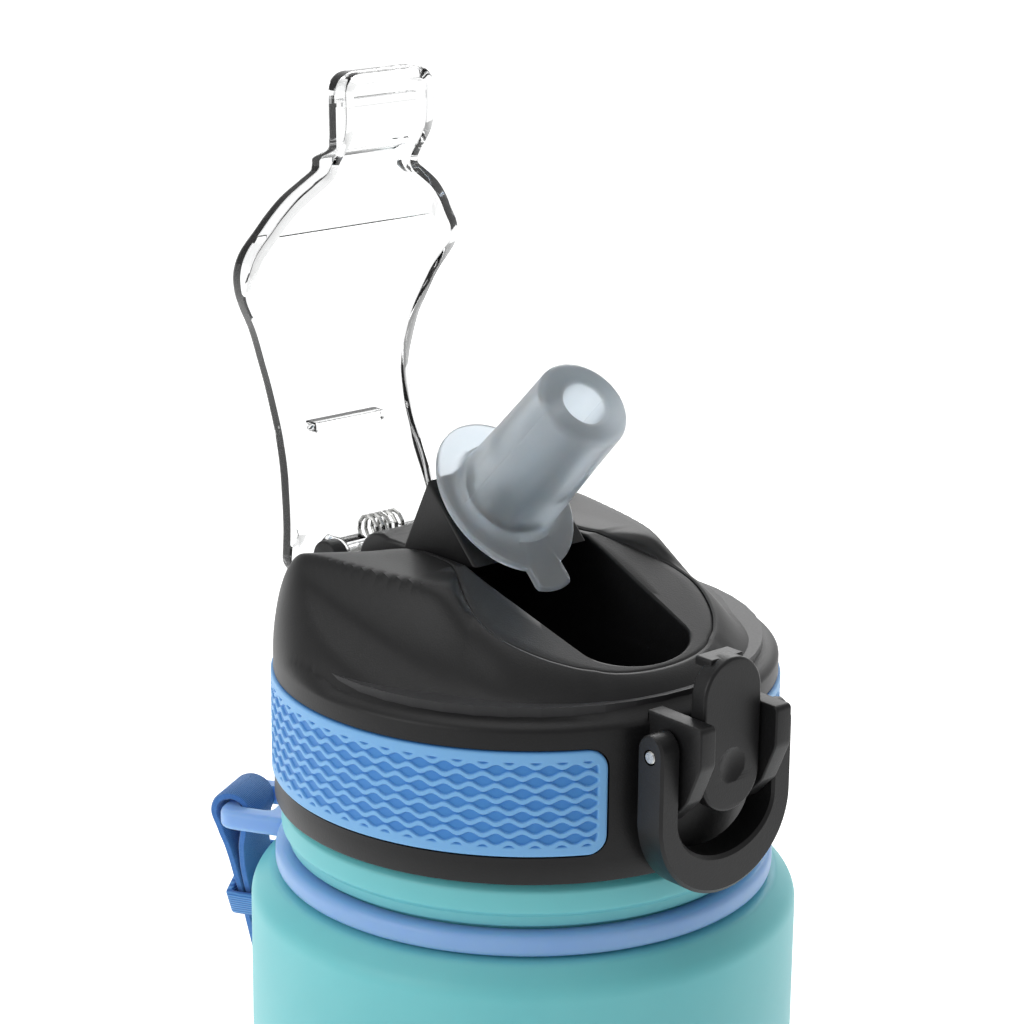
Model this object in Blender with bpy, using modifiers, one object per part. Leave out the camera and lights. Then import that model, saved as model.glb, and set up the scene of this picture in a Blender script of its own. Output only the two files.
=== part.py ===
"""Sports bottle with a screw cap, a clear flip cover, a flip-up spout and a carry ring.

Metres, +Z up, origin at the centre of the base. The latch faces -Y. The bottle stands as it is
used: cover open, spout raised, swing lock hanging. Heights above and below the cap's lower rim
are given from that rim, and everything on the cap hangs from an empty placed there.
"""

import math

import bmesh
import bpy
from mathutils import Matrix, Vector

MM = 0.001
FIT = 0.3 * MM  # clearance between pieces that touch or slide

# Bottle
RIM_HEIGHT = 240 * MM  # the cap's lower rim above the base
BODY_RADIUS = 39.0 * MM
BODY_WALL = 2.0 * MM
BASE_FLAT_RADIUS = 33.5 * MM
NECK_RADIUS = 30.4 * MM  # outer face between the threads
NECK_WALL = 1.8 * MM
LIP_HEIGHT = 17.5 * MM
BEAD_RADIUS = 34.6 * MM
SHOULDER_DEPTH = 19.0 * MM  # from the rim down to the full body radius

# Screw thread of neck and liner
THREAD_PITCH = 4.0 * MM
THREAD_DEPTH = 1.3 * MM
THREAD_TURNS = 1.5
THREAD_START = 5.5 * MM
THREAD_ROOT, THREAD_CREST = 2.0 * MM, 1.1 * MM  # ridge widths
THREAD_CLEARANCE = 0.4 * MM

# Carry ring and wrist strap
RING_WIDTH = 3.0 * MM  # from bore to rim
RING_THICKNESS = 3.1 * MM
RING_TOP = -7.3 * MM
LUG_ANGLE = math.radians(120)  # from +X, anticlockwise
LUG_REACH = BODY_RADIUS + 6.2 * MM
LUG_BAR = 2.4 * MM
STRAP_LOOP = 2.7 * MM  # centreline radius of the strap around the lug bar
STRAP_WIDTH = 8.6 * MM
STRAP_THICKNESS = 1.2 * MM
STRAP_DROP = 150 * MM
BAND_HEIGHT = 4.5 * MM

# Cap
CAP_RADIUS = 35.5 * MM
CAP_WALL = 2.0 * MM
CAP_SHOULDER = 22.7 * MM  # where the skirt ends and the dome starts
CAP_TOP = 35.5 * MM
DOME_EDGE = 4.5 * MM  # width of the rounded edge
TOP_WALL = 2.2 * MM
TROUGH_FLOOR = 7.0 * MM
TROUGH_WALL = 1.6 * MM
CEILING = CAP_SHOULDER - 1.8 * MM  # lowest underside of the top, over the liner
TROUGH_SHELF = CEILING + 1.6 * MM  # below it the trough narrows to pass through the neck
TROUGH_FRONT, TROUGH_BACK = -26.0 * MM, 26.5 * MM
SEAT_FRONT, SEAT_BACK = -27.5 * MM, 29.2 * MM
SEAT_SLOPE = 0.322
TROUGH_WIDTHS = ((-26, 8.7), (0, 11.0), (27, 11.0))  # (y, half width) in mm
SEAT_WIDTHS = ((-27.5, 12.5), (-22.5, 14.1), (-18, 17), (-12, 18.5), (-5, 18), (1, 15.6), (8, 14.5), (30, 15))
# (distance from the middle, y) of each scoop's upper edge, in mm
SCOOP_RIDGE = ((0, -6), (18, -5.5), (21, -4.5), (24, -1.2), (28.4, 5.2), (31.3, 13.3), (35.5, 24))
SCOOP_FRONT = 33.5 * MM  # radius at which the scoops start behind the front shoulder

# Liner, gasket and panels
LINER_WALL = 1.1 * MM
GASKET_THICKNESS = 1.1 * MM
PANEL_BOTTOM, PANEL_TOP = 4.2 * MM, 18.9 * MM
PANEL_DEPTH = 1.2 * MM
PANEL_PROUD = 0.35 * MM
PANEL_GAP_ANGLE = math.radians(23)  # bare skirt each side of the latch and of the hinge

# Cover
COVER_HINGE = Vector((0, 32.8 * MM, 27.7 * MM))
COVER_OPEN = math.radians(91)
COVER_DEPTH = 5.2 * MM
COVER_WALL = 1.8 * MM
COVER_NECK = 8.0 * MM  # half width
COVER_TIP = -38.2 * MM
NECK_UNDERSIDE, NECK_TOP = 24.0 * MM, 29.2 * MM
HINGE_PIN_RADIUS = 1.0 * MM
HINGE_KNUCKLE = 3.0 * MM
HINGE_LUG_INNER, HINGE_LUG_OUTER = 8.0 * MM, 10.4 * MM
KNUCKLE_INNER = 3.6 * MM
NOTCH_FRONT, NOTCH_FLOOR = 29.4 * MM, 22.9 * MM
NOTCH_HALF = 15.4 * MM

# Spout
SPOUT_PIVOT = Vector((0, 20.0 * MM, 30.0 * MM))
SPOUT_TILT = math.radians(44)  # of the nozzle's axis from upright
SPOUT_FLANGE = Vector((0, 4.8 * MM, 42.0 * MM))
ARM_SIDE_GAP = 0.7 * MM
ARM_KNUCKLE = 5.0 * MM
ARM_UPPER, ARM_LOWER = 5.5 * MM, 9.0 * MM  # from the nozzle's axis to the arm's edges
SPOUT_PIN_RADIUS = 1.2 * MM
NOZZLE_RADIUS = 7.0 * MM
NOZZLE_LENGTH = 23.7 * MM
NOZZLE_BORE = 3.15 * MM
SPIGOT_RADIUS, SPIGOT_LENGTH = 4.2 * MM, 6.0 * MM
FLANGE_HALF_WIDTH, FLANGE_HALF_HEIGHT = 10.2 * MM, 12.2 * MM
FLANGE_THICKNESS = 1.2 * MM
TAB_WIDTH, TAB_LENGTH = 5.0 * MM, 3.6 * MM
PORT_RADIUS = 1.6 * MM
SEAL_RADIUS = 3.0 * MM
SEAL_GAP = 0.5 * MM  # below the arm's knuckle
STRAW_RADIUS, STRAW_WALL = 4.0 * MM, 0.8 * MM
STRAW_FLOOR_GAP = 8.0 * MM
SOCKET_WALL, SOCKET_DEPTH = 1.4 * MM, 9.0 * MM
VALVE_RADIUS, VALVE_Y = 1.6 * MM, -10.0 * MM

# Latch
LATCH_AXIS = Vector((0, -38.5 * MM, 18.9 * MM))
LATCH_PIN_RADIUS = 0.9 * MM
LATCH_PIN_HALF = 12.0 * MM
BUTTON_HALF_WIDTH = 5.2 * MM
BUTTON_BOTTOM, BUTTON_TOP = 9.4 * MM, 30.9 * MM
BUTTON_FACE, BUTTON_THICKNESS = -41.6 * MM, 2.8 * MM
BUTTON_HUB = 2.6 * MM
BUTTON_TRAVEL = 1.2 * MM  # at the spring, when the button is pressed home
TOOTH_REACH, TOOTH_HALF_WIDTH = 1.6 * MM, 3.0 * MM
DIMPLE_RADIUS, DIMPLE_DEPTH, DIMPLE_HEIGHT = 5.0 * MM, 0.7 * MM, 15.9 * MM
EAR_WIDTH = 2.8 * MM
EAR_TOP = 23.4 * MM
BAIL_ARM = 3.4 * MM
BAIL_DEPTH = 4.9 * MM
BAIL_EYE = 3.5 * MM
BAIL_BOTTOM, BAIL_BAR = -2.3 * MM, 5.4 * MM
BAIL_ARC_HEIGHT = 9.7 * MM  # where the straight arms become the round bar

TURN_STEPS = 48
SHELL_STEPS = 80  # one of its directions meets the trough's back corners
FACETS_GRAZE = {"cap_shell", "flip_cover"}  # the exact solver leaves these open


def clear_scene():
    for obj in list(bpy.data.objects):
        bpy.data.objects.remove(obj, do_unlink=True)


def collection(name):
    made = bpy.data.collections.new(name)
    bpy.context.scene.collection.children.link(made)
    return made


def material(name, colour, roughness, metallic=0.0):
    made = bpy.data.materials.new(name)
    made.use_nodes = True
    made.diffuse_color = (*colour, 1)
    shader = made.node_tree.nodes["Principled BSDF"]
    shader.inputs["Base Color"].default_value = (*colour, 1)
    shader.inputs["Roughness"].default_value = roughness
    shader.inputs["Metallic"].default_value = metallic
    return made


# Shape helpers. Each returns an object in the parts collection.

PLANES = {
    "XY": Matrix.Identity(3),
    "XZ": Matrix(((1, 0, 0), (0, 0, -1), (0, 1, 0))),
    "YZ": Matrix(((0, 0, 1), (1, 0, 0), (0, 1, 0))),
}


def place(obj, location=(0, 0, 0), rotation=(0, 0, 0), parent=None):
    """Sets where an object is, measured from the cap's rim unless it has another parent."""
    obj.parent = parent or RIM
    obj.location = location
    obj.rotation_euler = rotation
    return obj


def link(name, data):
    obj = bpy.data.objects.new(name, data)
    PARTS.objects.link(obj)
    return place(obj)


def rim_empty():
    obj = bpy.data.objects.new("cap_rim", None)
    PARTS.objects.link(obj)
    obj.location.z = RIM_HEIGHT
    return obj


def mesh_object(name, shape):
    """An object from a bmesh, smooth where its faces meet at a shallow angle."""
    mesh = bpy.data.meshes.new(name)
    bmesh.ops.recalc_face_normals(shape, faces=shape.faces)
    shape.to_mesh(mesh)
    shape.free()
    mesh.shade_smooth()
    mesh.set_sharp_from_angle(angle=math.radians(35))
    return link(name, mesh)


def box(name, low, high):
    shape = bmesh.new()
    bmesh.ops.create_cube(shape, size=1)
    low, high = Vector(low), Vector(high)
    size = high - low
    fit = Matrix.Translation((low + high) / 2) @ Matrix.Diagonal((*size, 1))
    bmesh.ops.transform(shape, matrix=fit, verts=shape.verts)
    return mesh_object(name, shape)


def rod(name, radius, start, end, sides=24):
    """A cylinder between two points."""
    start, end = Vector(start), Vector(end)
    shape = bmesh.new()
    length = (end - start).length
    bmesh.ops.create_cone(shape, cap_ends=True, segments=sides, radius1=radius, radius2=radius, depth=length)
    turn = Vector((0, 0, 1)).rotation_difference(end - start).to_matrix().to_4x4()
    bmesh.ops.transform(shape, matrix=Matrix.Translation((start + end) / 2) @ turn, verts=shape.verts)
    return mesh_object(name, shape)


def turned(name, profile, steps=TURN_STEPS, closed=False):
    """A profile of (radius, height) turned about Z. Its outer side runs from top to bottom."""
    mesh = bpy.data.meshes.new(name)
    edges = [(i, i + 1) for i in range(len(profile) - 1)]
    if closed:
        edges.append((len(profile) - 1, 0))
    mesh.from_pydata([(radius, 0, height) for radius, height in profile], edges, [])
    obj = link(name, mesh)
    screw = obj.modifiers.new("Screw", "SCREW")
    screw.steps = screw.render_steps = steps
    screw.use_merge_vertices = True
    screw.merge_threshold = 0.00001
    return obj


def tube(name, inner, outer, bottom, top, steps=TURN_STEPS):
    return turned(name, [(inner, top), (outer, top), (outer, bottom), (inner, bottom)], steps, closed=True)


def slab(name, outlines, depth, plane="XY"):
    """Flat outlines, the second one a hole, given thickness depth about their plane."""
    curve = bpy.data.curves.new(name, "CURVE")
    curve.dimensions = "2D"
    curve.fill_mode = "BOTH"
    curve.extrude = depth / 2
    for outline in outlines:
        spline = curve.splines.new("POLY")
        spline.points.add(len(outline) - 1)
        for point, (u, v) in zip(spline.points, outline):
            point.co = (u, v, 0, 1)
        spline.use_cyclic_u = True
    obj = as_mesh(link(name, curve))
    obj.data.transform(PLANES[plane].to_4x4())
    return obj


def as_mesh(curve_object):
    """The curve object made a mesh object of the same name, with its caps welded on."""
    bpy.context.view_layer.update()
    graph = bpy.context.evaluated_depsgraph_get()
    mesh = bpy.data.meshes.new_from_object(curve_object.evaluated_get(graph))
    shape = bmesh.new()
    shape.from_mesh(mesh)
    bmesh.ops.remove_doubles(shape, verts=shape.verts, dist=0.000001)
    bpy.data.meshes.remove(mesh)
    name = curve_object.name
    placed = curve_object.matrix_world.copy()
    bpy.data.objects.remove(curve_object)
    obj = mesh_object(name, shape)
    obj.matrix_world = placed
    return obj


def coil(name, radius, wire, turns, length, legs=()):
    """A helical spring about Z, centred on the origin. Each leg is a point that an end runs to."""
    count = int(turns * 10)
    points = []
    for i in range(count + 1):
        angle = 2 * math.pi * turns * i / count
        height = length * (i / count - 0.5)
        points.append((radius * math.cos(angle), radius * math.sin(angle), height))
    if legs:
        points = [legs[0]] + points + [legs[1]]
    curve = bpy.data.curves.new(name, "CURVE")
    curve.dimensions = "3D"
    curve.bevel_depth = wire / 2
    curve.bevel_resolution = 1
    curve.use_fill_caps = True
    spline = curve.splines.new("POLY")
    spline.points.add(len(points) - 1)
    for point, place_at in zip(spline.points, points):
        point.co = (*place_at, 1)
    return as_mesh(link(name, curve))


def loft(name, sections, ring=False, poles=None):
    """Skin over closed or open sections of equal count.

    ring joins the last section to the first. poles closes a ring of open sections at a point
    above and a point below; without poles the sections are closed and the two ends are capped.
    """
    shape = bmesh.new()
    rows = [[shape.verts.new(point) for point in section] for section in sections]
    pairs = list(zip(rows, rows[1:]))
    if ring:
        pairs.append((rows[-1], rows[0]))
    for one, other in pairs:
        for i in range(len(one) - (1 if poles else 0)):
            j = (i + 1) % len(one)
            shape.faces.new((one[i], one[j], other[j], other[i]))
    if poles:
        top, bottom = (shape.verts.new(pole) for pole in poles)
        for one, other in pairs:
            shape.faces.new((top, one[0], other[0]))
            shape.faces.new((bottom, other[-1], one[-1]))
    elif not ring:
        shape.faces.new(rows[0])
        shape.faces.new(rows[-1])
    bmesh.ops.triangulate(shape, faces=[face for face in shape.faces if len(face.verts) > 3])
    return mesh_object(name, shape)


def combine(obj, other, operation):
    """Adds or removes another object's volume, and puts that object away as a cutter."""
    PARTS.objects.unlink(other)
    CUTTERS.objects.link(other)
    other.hide_render = True
    other.display_type = "WIRE"
    modifier = obj.modifiers.new(other.name, "BOOLEAN")
    modifier.operation = operation
    modifier.solver = "MANIFOLD" if obj.name in FACETS_GRAZE else "EXACT"
    modifier.object = other


def add(obj, *others):
    for other in others:
        combine(obj, other, "UNION")


def cut(obj, *others):
    for other in others:
        combine(obj, other, "DIFFERENCE")


def arc(centre, radius, start, end, steps, squeeze=1.0):
    """Points of a circle, or of an ellipse whose second half axis is radius x squeeze."""
    points = []
    for i in range(steps + 1):
        angle = math.radians(start + (end - start) * i / steps)
        points.append((centre[0] + radius * math.cos(angle), centre[1] + radius * squeeze * math.sin(angle)))
    return points


# Outlines and heights of the cap's top


def eased(stations, y):
    """Smooth curve through (position, value) stations in mm, level at each turning point."""
    y = min(max(y / MM, stations[0][0]), stations[-1][0])
    slopes = []
    for i in range(len(stations)):
        before, after = stations[max(i - 1, 0)], stations[min(i + 1, len(stations) - 1)]
        slopes.append((after[1] - before[1]) / (after[0] - before[0]))
    for i in range(len(stations) - 1):
        (y0, w0), (y1, w1) = stations[i], stations[i + 1]
        if y <= y1:
            t, span = (y - y0) / (y1 - y0), y1 - y0
            near, far = (2 * t**3 - 3 * t**2 + 1), (3 * t**2 - 2 * t**3)
            bend = (t**3 - 2 * t**2 + t) * span * slopes[i] + (t**3 - t**2) * span * slopes[i + 1]
            return (near * w0 + far * w1 + bend) * MM
    return stations[-1][1] * MM


def rounded_end(y, end, nose):
    """1 along an outline, falling to 0 at its end over the length of its elliptic nose."""
    into = abs(y - end)
    return math.sqrt(max(0.0, 1 - (1 - into / nose) ** 2)) if into < nose else 1.0


def trough_half_width(y):
    if not TROUGH_FRONT < y < TROUGH_BACK:
        return 0.0
    ends = rounded_end(y, TROUGH_FRONT, 6 * MM) * rounded_end(y, TROUGH_BACK, 0.8 * MM)
    return eased(TROUGH_WIDTHS, y) * ends


def seat_half_width(y):
    if not SEAT_FRONT < y < SEAT_BACK:
        return 0.0
    return eased(SEAT_WIDTHS, y) * rounded_end(y, SEAT_FRONT, 7 * MM) * rounded_end(y, SEAT_BACK, 2 * MM)


def reach(half_width, direction):
    """Distance from the cap's axis to an outline in a direction, by halving."""
    near, far = 0.0, CAP_RADIUS
    for _ in range(30):
        middle = (near + far) / 2
        point = direction * middle
        if abs(point.x) < half_width(point.y):
            near = middle
        else:
            far = middle
    return near


def seat_height(y):
    """The flat on which the cover closes: level behind the axis and sloping down in front of it."""
    return CAP_TOP + SEAT_SLOPE * min(y, 0.0)


def dome_height(point):
    """The top around the seat: each side has a scoop from the front shoulder up to its ridge."""
    front = -math.sqrt(max(0.0, SCOOP_FRONT**2 - point.x**2))
    ridge = eased(SCOOP_RIDGE, abs(point.x))
    rise = min(max((point.y - front) / (ridge - front), 0.0), 1.0) ** 1.3
    edge = max(0.0, (point.length - CAP_RADIUS + DOME_EDGE) / DOME_EDGE)
    level = CAP_SHOULDER + (CAP_TOP - CAP_SHOULDER) * rise + 0.3 * MM * (1 - rise)
    return CAP_SHOULDER + (level - CAP_SHOULDER) * math.sqrt(max(0.0, 1 - edge**2))


def underside_height(point, top):
    """The hollow under the top, which stays solid under the hinge."""
    lowest = CEILING + 0.5 * MM
    open_part = min(max((24 * MM - point.y) / (4 * MM), 0.0), 1.0)
    return lowest + max(0.0, top - TOP_WALL - lowest) * open_part


def cap_section(angle):
    """The shell's section in one direction, from the trough floor over the top to its underside."""
    direction = Vector((math.cos(angle), math.sin(angle)))
    trough = reach(trough_half_width, direction)
    seat = max(reach(seat_half_width, direction), trough + 1.2 * MM)
    section = []

    def add_point(distance, height):
        section.append((direction.x * distance, direction.y * distance, height))

    seat_edge = direction * seat
    step = min(0.8 * MM, (seat - trough) / 2)
    lower = min(trough - 0.3 * MM, NECK_RADIUS - NECK_WALL - FIT - TROUGH_WALL)
    add_point(lower - 0.3 * MM, TROUGH_FLOOR)
    add_point(lower, TROUGH_SHELF)
    add_point(trough - 0.05 * MM, TROUGH_SHELF + 0.3 * MM)
    add_point(trough, seat_height(direction.y * trough))
    add_point(seat - step, seat_height(direction.y * (seat - step)))
    add_point(seat, min(seat_height(seat_edge.y), dome_height(seat_edge)))
    for share in (0.7, 0.45, 0.25, 0.12, 0.04, 0.01, 0.0):
        distance = CAP_RADIUS - (CAP_RADIUS - seat) * share
        add_point(distance, dome_height(direction * distance))
    add_point(CAP_RADIUS, 0.5 * MM)
    add_point(CAP_RADIUS - 0.5 * MM, 0)
    inner = CAP_RADIUS - CAP_WALL
    add_point(inner, 0)
    add_point(inner, CEILING)
    outside_trough = trough + TROUGH_WALL
    middle = (inner + outside_trough) / 2
    for distance in (middle, outside_trough):
        point = direction * distance
        on_seat = distance < seat
        top = seat_height(point.y) if on_seat else dome_height(point)
        add_point(distance, underside_height(point, top))
    add_point(lower + TROUGH_WALL + 0.1 * MM, CEILING)
    add_point(lower + TROUGH_WALL - 0.3 * MM, TROUGH_FLOOR - TROUGH_WALL)
    return section


# The pieces


def thread_ridge(name, root_radius, depth, phase, start):
    """A helical ridge on a wall, outward for a positive depth. It is sunk a little into the wall."""
    sunk = math.copysign(0.4 * MM, depth)
    steps = int(THREAD_TURNS * 36)
    sections = []
    for i in range(steps + 1):
        turn = THREAD_TURNS * i / steps
        angle = 2 * math.pi * turn + phase
        middle = start + THREAD_PITCH * turn
        section = []
        for radius, half in (
            (root_radius - sunk, THREAD_ROOT / 2),
            (root_radius + depth, THREAD_CREST / 2),
            (root_radius + depth, -THREAD_CREST / 2),
            (root_radius - sunk, -THREAD_ROOT / 2),
        ):
            section.append((radius * math.cos(angle), radius * math.sin(angle), middle + half))
        sections.append(section)
    return loft(name, sections)


def bottle_body():
    inner_neck = NECK_RADIUS - NECK_WALL
    inner_body = BODY_RADIUS - BODY_WALL
    seat = NECK_RADIUS + 1.8 * MM  # the groove that the carry ring turns in
    outside = [
        (inner_neck, LIP_HEIGHT),
        (NECK_RADIUS, LIP_HEIGHT),
        (NECK_RADIUS, 0.9 * MM),
        (BEAD_RADIUS - 1.2 * MM, -0.8 * MM),
        (BEAD_RADIUS, -2.0 * MM),
        (BEAD_RADIUS, -4.6 * MM),
        (BEAD_RADIUS - 0.8 * MM, -5.2 * MM),
        (BEAD_RADIUS - 1.0 * MM, RING_TOP + 0.7 * MM),
        (seat, RING_TOP + FIT),
        (seat, RING_TOP - RING_THICKNESS - FIT),
    ]
    shoulder_radius = 4.0 * MM
    shoulder_top = RING_TOP - RING_THICKNESS - FIT
    drop = SHOULDER_DEPTH + shoulder_top
    for turn in (0, 20, 40, 60, 78, 90):
        angle = math.radians(turn)
        radius = BODY_RADIUS - shoulder_radius * (1 - math.sin(angle))
        outside.append((radius, shoulder_top - drop * (1 - math.cos(angle))))
    floor = -RIM_HEIGHT
    outside += [
        (BODY_RADIUS, floor + 7 * MM),
        (BODY_RADIUS - 1.2 * MM, floor + 2.8 * MM),
        (BASE_FLAT_RADIUS + 1.5 * MM, floor + 0.4 * MM),
        (BASE_FLAT_RADIUS, floor),
        (0, floor),
    ]
    inside = [
        (0, floor + BODY_WALL),
        (BASE_FLAT_RADIUS, floor + BODY_WALL),
        (inner_body - 1.0 * MM, floor + 4.5 * MM),
        (inner_body, floor + 8 * MM),
        (inner_body, -SHOULDER_DEPTH - 3 * MM),
        (inner_body - 1.6 * MM, -SHOULDER_DEPTH + 2 * MM),
        (inner_neck + 1.2 * MM, RING_TOP - RING_THICKNESS - 1.0 * MM),
        (inner_neck, RING_TOP),
    ]
    body = turned("bottle_body", inside + outside)
    ridge = thread_ridge("neck_thread", NECK_RADIUS, THREAD_DEPTH, 0, THREAD_START)
    add(body, ridge)
    body.data.materials.append(material("frosted_turquoise", (0.16, 0.66, 0.70), 0.45))
    return place(body)


def carry_ring():
    bore = NECK_RADIUS + 1.8 * MM + FIT
    rim = bore + RING_WIDTH
    top, bottom = RING_TOP, RING_TOP - RING_THICKNESS
    soft = 0.8 * MM
    profile = [(bore, top), (rim - soft, top), (rim, top - soft), (rim, bottom + soft),
        (rim - soft, bottom), (bore, bottom)]
    ring = turned("carry_ring", profile, closed=True)
    half = STRAP_WIDTH / 2 + FIT
    side = 2.6 * MM
    slot_start = rim + 1.8 * MM
    plate = [(rim - 1.4 * MM, -half - side), (LUG_REACH - 3 * MM, -half - side)]
    plate += arc((LUG_REACH - 3 * MM, -half - side + 3 * MM), 3 * MM, -90, 0, 4)[1:]
    plate += arc((LUG_REACH - 3 * MM, half + side - 3 * MM), 3 * MM, 0, 90, 4)
    plate += [(rim - 1.4 * MM, half + side)]
    lug = slab("ring_lug", [plate], RING_THICKNESS - 0.2 * MM)
    place(lug, (0, 0, (top + bottom) / 2), (0, 0, LUG_ANGLE))
    slot_high = LUG_REACH - LUG_BAR
    slot = box("lug_slot", (slot_start, -half, -5 * MM), (slot_high, half, 5 * MM))
    place(slot, (0, 0, (top + bottom) / 2), (0, 0, LUG_ANGLE))
    add(ring, lug)
    cut(ring, slot)
    ring.data.materials.append(material("light_blue_ring", (0.30, 0.50, 0.86), 0.45))
    return place(ring)


def strap_route():
    """Centreline of the strap's closed loop as (radius, sideways, height) from the lug's direction."""
    middle = LUG_REACH - LUG_BAR / 2
    axis_z = RING_TOP - RING_THICKNESS / 2
    slant = STRAP_LOOP * 0.72
    half_gap = STRAP_THICKNESS / 2 + FIT / 2
    rest = BODY_RADIUS + STRAP_THICKNESS / 2 + 1.6 * MM
    back = 20 * MM
    bottom = -STRAP_DROP
    knots = [
        (middle, 0, axis_z + STRAP_LOOP),
        (middle + slant, 0, axis_z + slant),
        (middle + STRAP_LOOP, 0, axis_z),
        (middle + slant, -0.3 * MM, axis_z - slant - 0.6 * MM),
        (middle + 1.2 * MM, -1.3 * MM, -14.5 * MM),
        (middle + half_gap, -3 * MM, -19 * MM),
        (middle + half_gap, -6.5 * MM, -26 * MM),
        (rest + 4.4 * MM, -14 * MM, -42 * MM),
        (rest + 4.6 * MM, -back, -70 * MM),
        (rest + 4.8 * MM, -back, -110 * MM),
        (rest + 4.4 * MM, -back, bottom + 8 * MM),
        (rest + 2.4 * MM, -back, bottom),
        (rest + 0.4 * MM, -back, bottom + 8 * MM),
        (rest, -back, -110 * MM),
        (rest, -back, -70 * MM),
        (rest + 0.5 * MM, -14 * MM, -42 * MM),
        (middle - half_gap, -6.5 * MM, -26 * MM),
        (middle - half_gap, -3 * MM, -19 * MM),
        (middle - 1.2 * MM, -1.3 * MM, -14.5 * MM),
        (middle - slant, -0.3 * MM, axis_z - slant - 0.6 * MM),
        (middle - STRAP_LOOP, 0, axis_z),
        (middle - slant, 0, axis_z + slant),
    ]
    return [Vector(knot) for knot in knots]


def smooth_loop(knots, steps):
    """Points of a closed Catmull-Rom curve through the knots."""
    points = []
    count = len(knots)
    for i in range(count):
        a, b, c, d = (knots[(i + k) % count] for k in (-1, 0, 1, 2))
        for j in range(steps):
            t = j / steps
            bend = (2 * a - 5 * b + 4 * c - d) * t**2
            twist = (3 * b - a - 3 * c + d) * t**3
            points.append(0.5 * (2 * b + (c - a) * t + bend + twist))
    return points


def wrist_strap():
    points = smooth_loop(strap_route(), 3)
    across = Vector((0, 1, 0))
    sections = []
    for i, point in enumerate(points):
        ahead = (points[(i + 1) % len(points)] - points[i - 1]).normalized()
        side = (across - ahead * across.dot(ahead)).normalized() * STRAP_WIDTH / 2
        out = side.cross(ahead).normalized() * STRAP_THICKNESS / 2
        sections.append([point + side + out, point + side - out, point - side - out, point - side + out])
    strap = loft("wrist_strap", sections, ring=True)
    strap.data.materials.append(material("woven_blue", (0.16, 0.42, 0.80), 0.85))
    return place(strap, rotation=(0, 0, LUG_ANGLE))


def strap_clip():
    """The band that closes the strap under the lug, around both layers."""
    half = STRAP_WIDTH / 2 + 2 * FIT
    depth = STRAP_THICKNESS + FIT / 2 + 0.35 * MM
    wall = 0.9 * MM
    outer = [(-depth - wall, -half - wall), (depth + wall, -half - wall), (depth + wall, half + wall),
        (-depth - wall, half + wall)]
    inner = [(-depth, -half), (depth, -half), (depth, half), (-depth, half)]
    clip = slab("strap_clip", [outer, inner], BAND_HEIGHT)
    clip.data.materials.append(material("stitched_band", (0.14, 0.38, 0.74), 0.8))
    tilt = math.atan2(3.5, 7)
    turn = Matrix.Rotation(LUG_ANGLE, 4, "Z") @ Matrix.Translation((LUG_REACH - LUG_BAR / 2, -4.75 * MM,
        -22.5 * MM))
    clip.matrix_local = turn @ Matrix.Rotation(-tilt, 4, "X")
    return clip


def cap_shell():
    sections = [cap_section(2 * math.pi * i / SHELL_STEPS) for i in range(SHELL_STEPS)]
    poles = ((0, 0, TROUGH_FLOOR), (0, 0, TROUGH_FLOOR - TROUGH_WALL))
    shell = loft("cap_shell", sections, ring=True, poles=poles)
    shell.data.materials.append(material("black_plastic", (0.012, 0.012, 0.013), 0.42))
    place(shell)
    cut(shell, box("hinge_notch", (-NOTCH_HALF, NOTCH_FRONT, NOTCH_FLOOR),
        (NOTCH_HALF, CAP_RADIUS * 1.2, CAP_TOP * 1.5)))
    for side in (-1, 1):
        cut(shell, panel_ring(f"panel_recess_{side}", side, FIT))
    add_hinge_lugs(shell)
    add_latch_ears(shell)
    straw_socket(shell)
    hinge, pivot, latch = COVER_HINGE, SPOUT_PIVOT, LATCH_AXIS
    across = Vector((1, 0, 0))
    cut(shell, rod("hinge_pin_hole", HINGE_PIN_RADIUS + FIT, hinge - across * 13 * MM,
        hinge + across * 13 * MM))
    cut(shell, rod("spout_pin_hole", SPOUT_PIN_RADIUS + FIT, pivot - across * 14 * MM,
        pivot + across * 14 * MM))
    cut(shell, rod("latch_pin_hole", LATCH_PIN_RADIUS + FIT, latch - across * 10 * MM,
        latch + across * 10 * MM))
    low, high = TROUGH_FLOOR - 3 * TROUGH_WALL, TROUGH_FLOOR + TROUGH_WALL
    cut(shell, rod("valve_hole", VALVE_RADIUS + FIT, (0, VALVE_Y, low), (0, VALVE_Y, high)))
    return shell


def add_hinge_lugs(shell):
    y, z = COVER_HINGE.y, COVER_HINGE.z
    foot = NOTCH_FLOOR - 0.7 * MM
    outline = [(y - HINGE_KNUCKLE, foot), (y + 1.4 * MM, foot)] + arc((y, z), HINGE_KNUCKLE, -20, 180, 12)
    middle = (HINGE_LUG_INNER + HINGE_LUG_OUTER) / 2
    for side in (-1, 1):
        lug = slab(f"hinge_lug_{side}", [outline], HINGE_LUG_OUTER - HINGE_LUG_INNER, "YZ")
        add(shell, place(lug, (side * middle, 0, 0)))


def add_latch_ears(shell):
    root = -CAP_RADIUS + 1.5 * MM
    front = LATCH_AXIS.y - 5.7 * MM
    low = LATCH_AXIS.z - 11 * MM
    outline = [(root, low), (root, EAR_TOP), (front + 0.8 * MM, EAR_TOP), (front, EAR_TOP - 0.8 * MM)]
    outline += [(front, LATCH_AXIS.z - 1 * MM), (front + 2.4 * MM, LATCH_AXIS.z - 6.5 * MM),
        (front + 6 * MM, low + 0.8 * MM)]
    middle = BUTTON_HALF_WIDTH + FIT + EAR_WIDTH / 2
    for side in (-1, 1):
        ear = slab(f"latch_ear_{side}", [outline], EAR_WIDTH, "YZ")
        add(shell, place(ear, (side * middle, 0, 0)))


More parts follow.
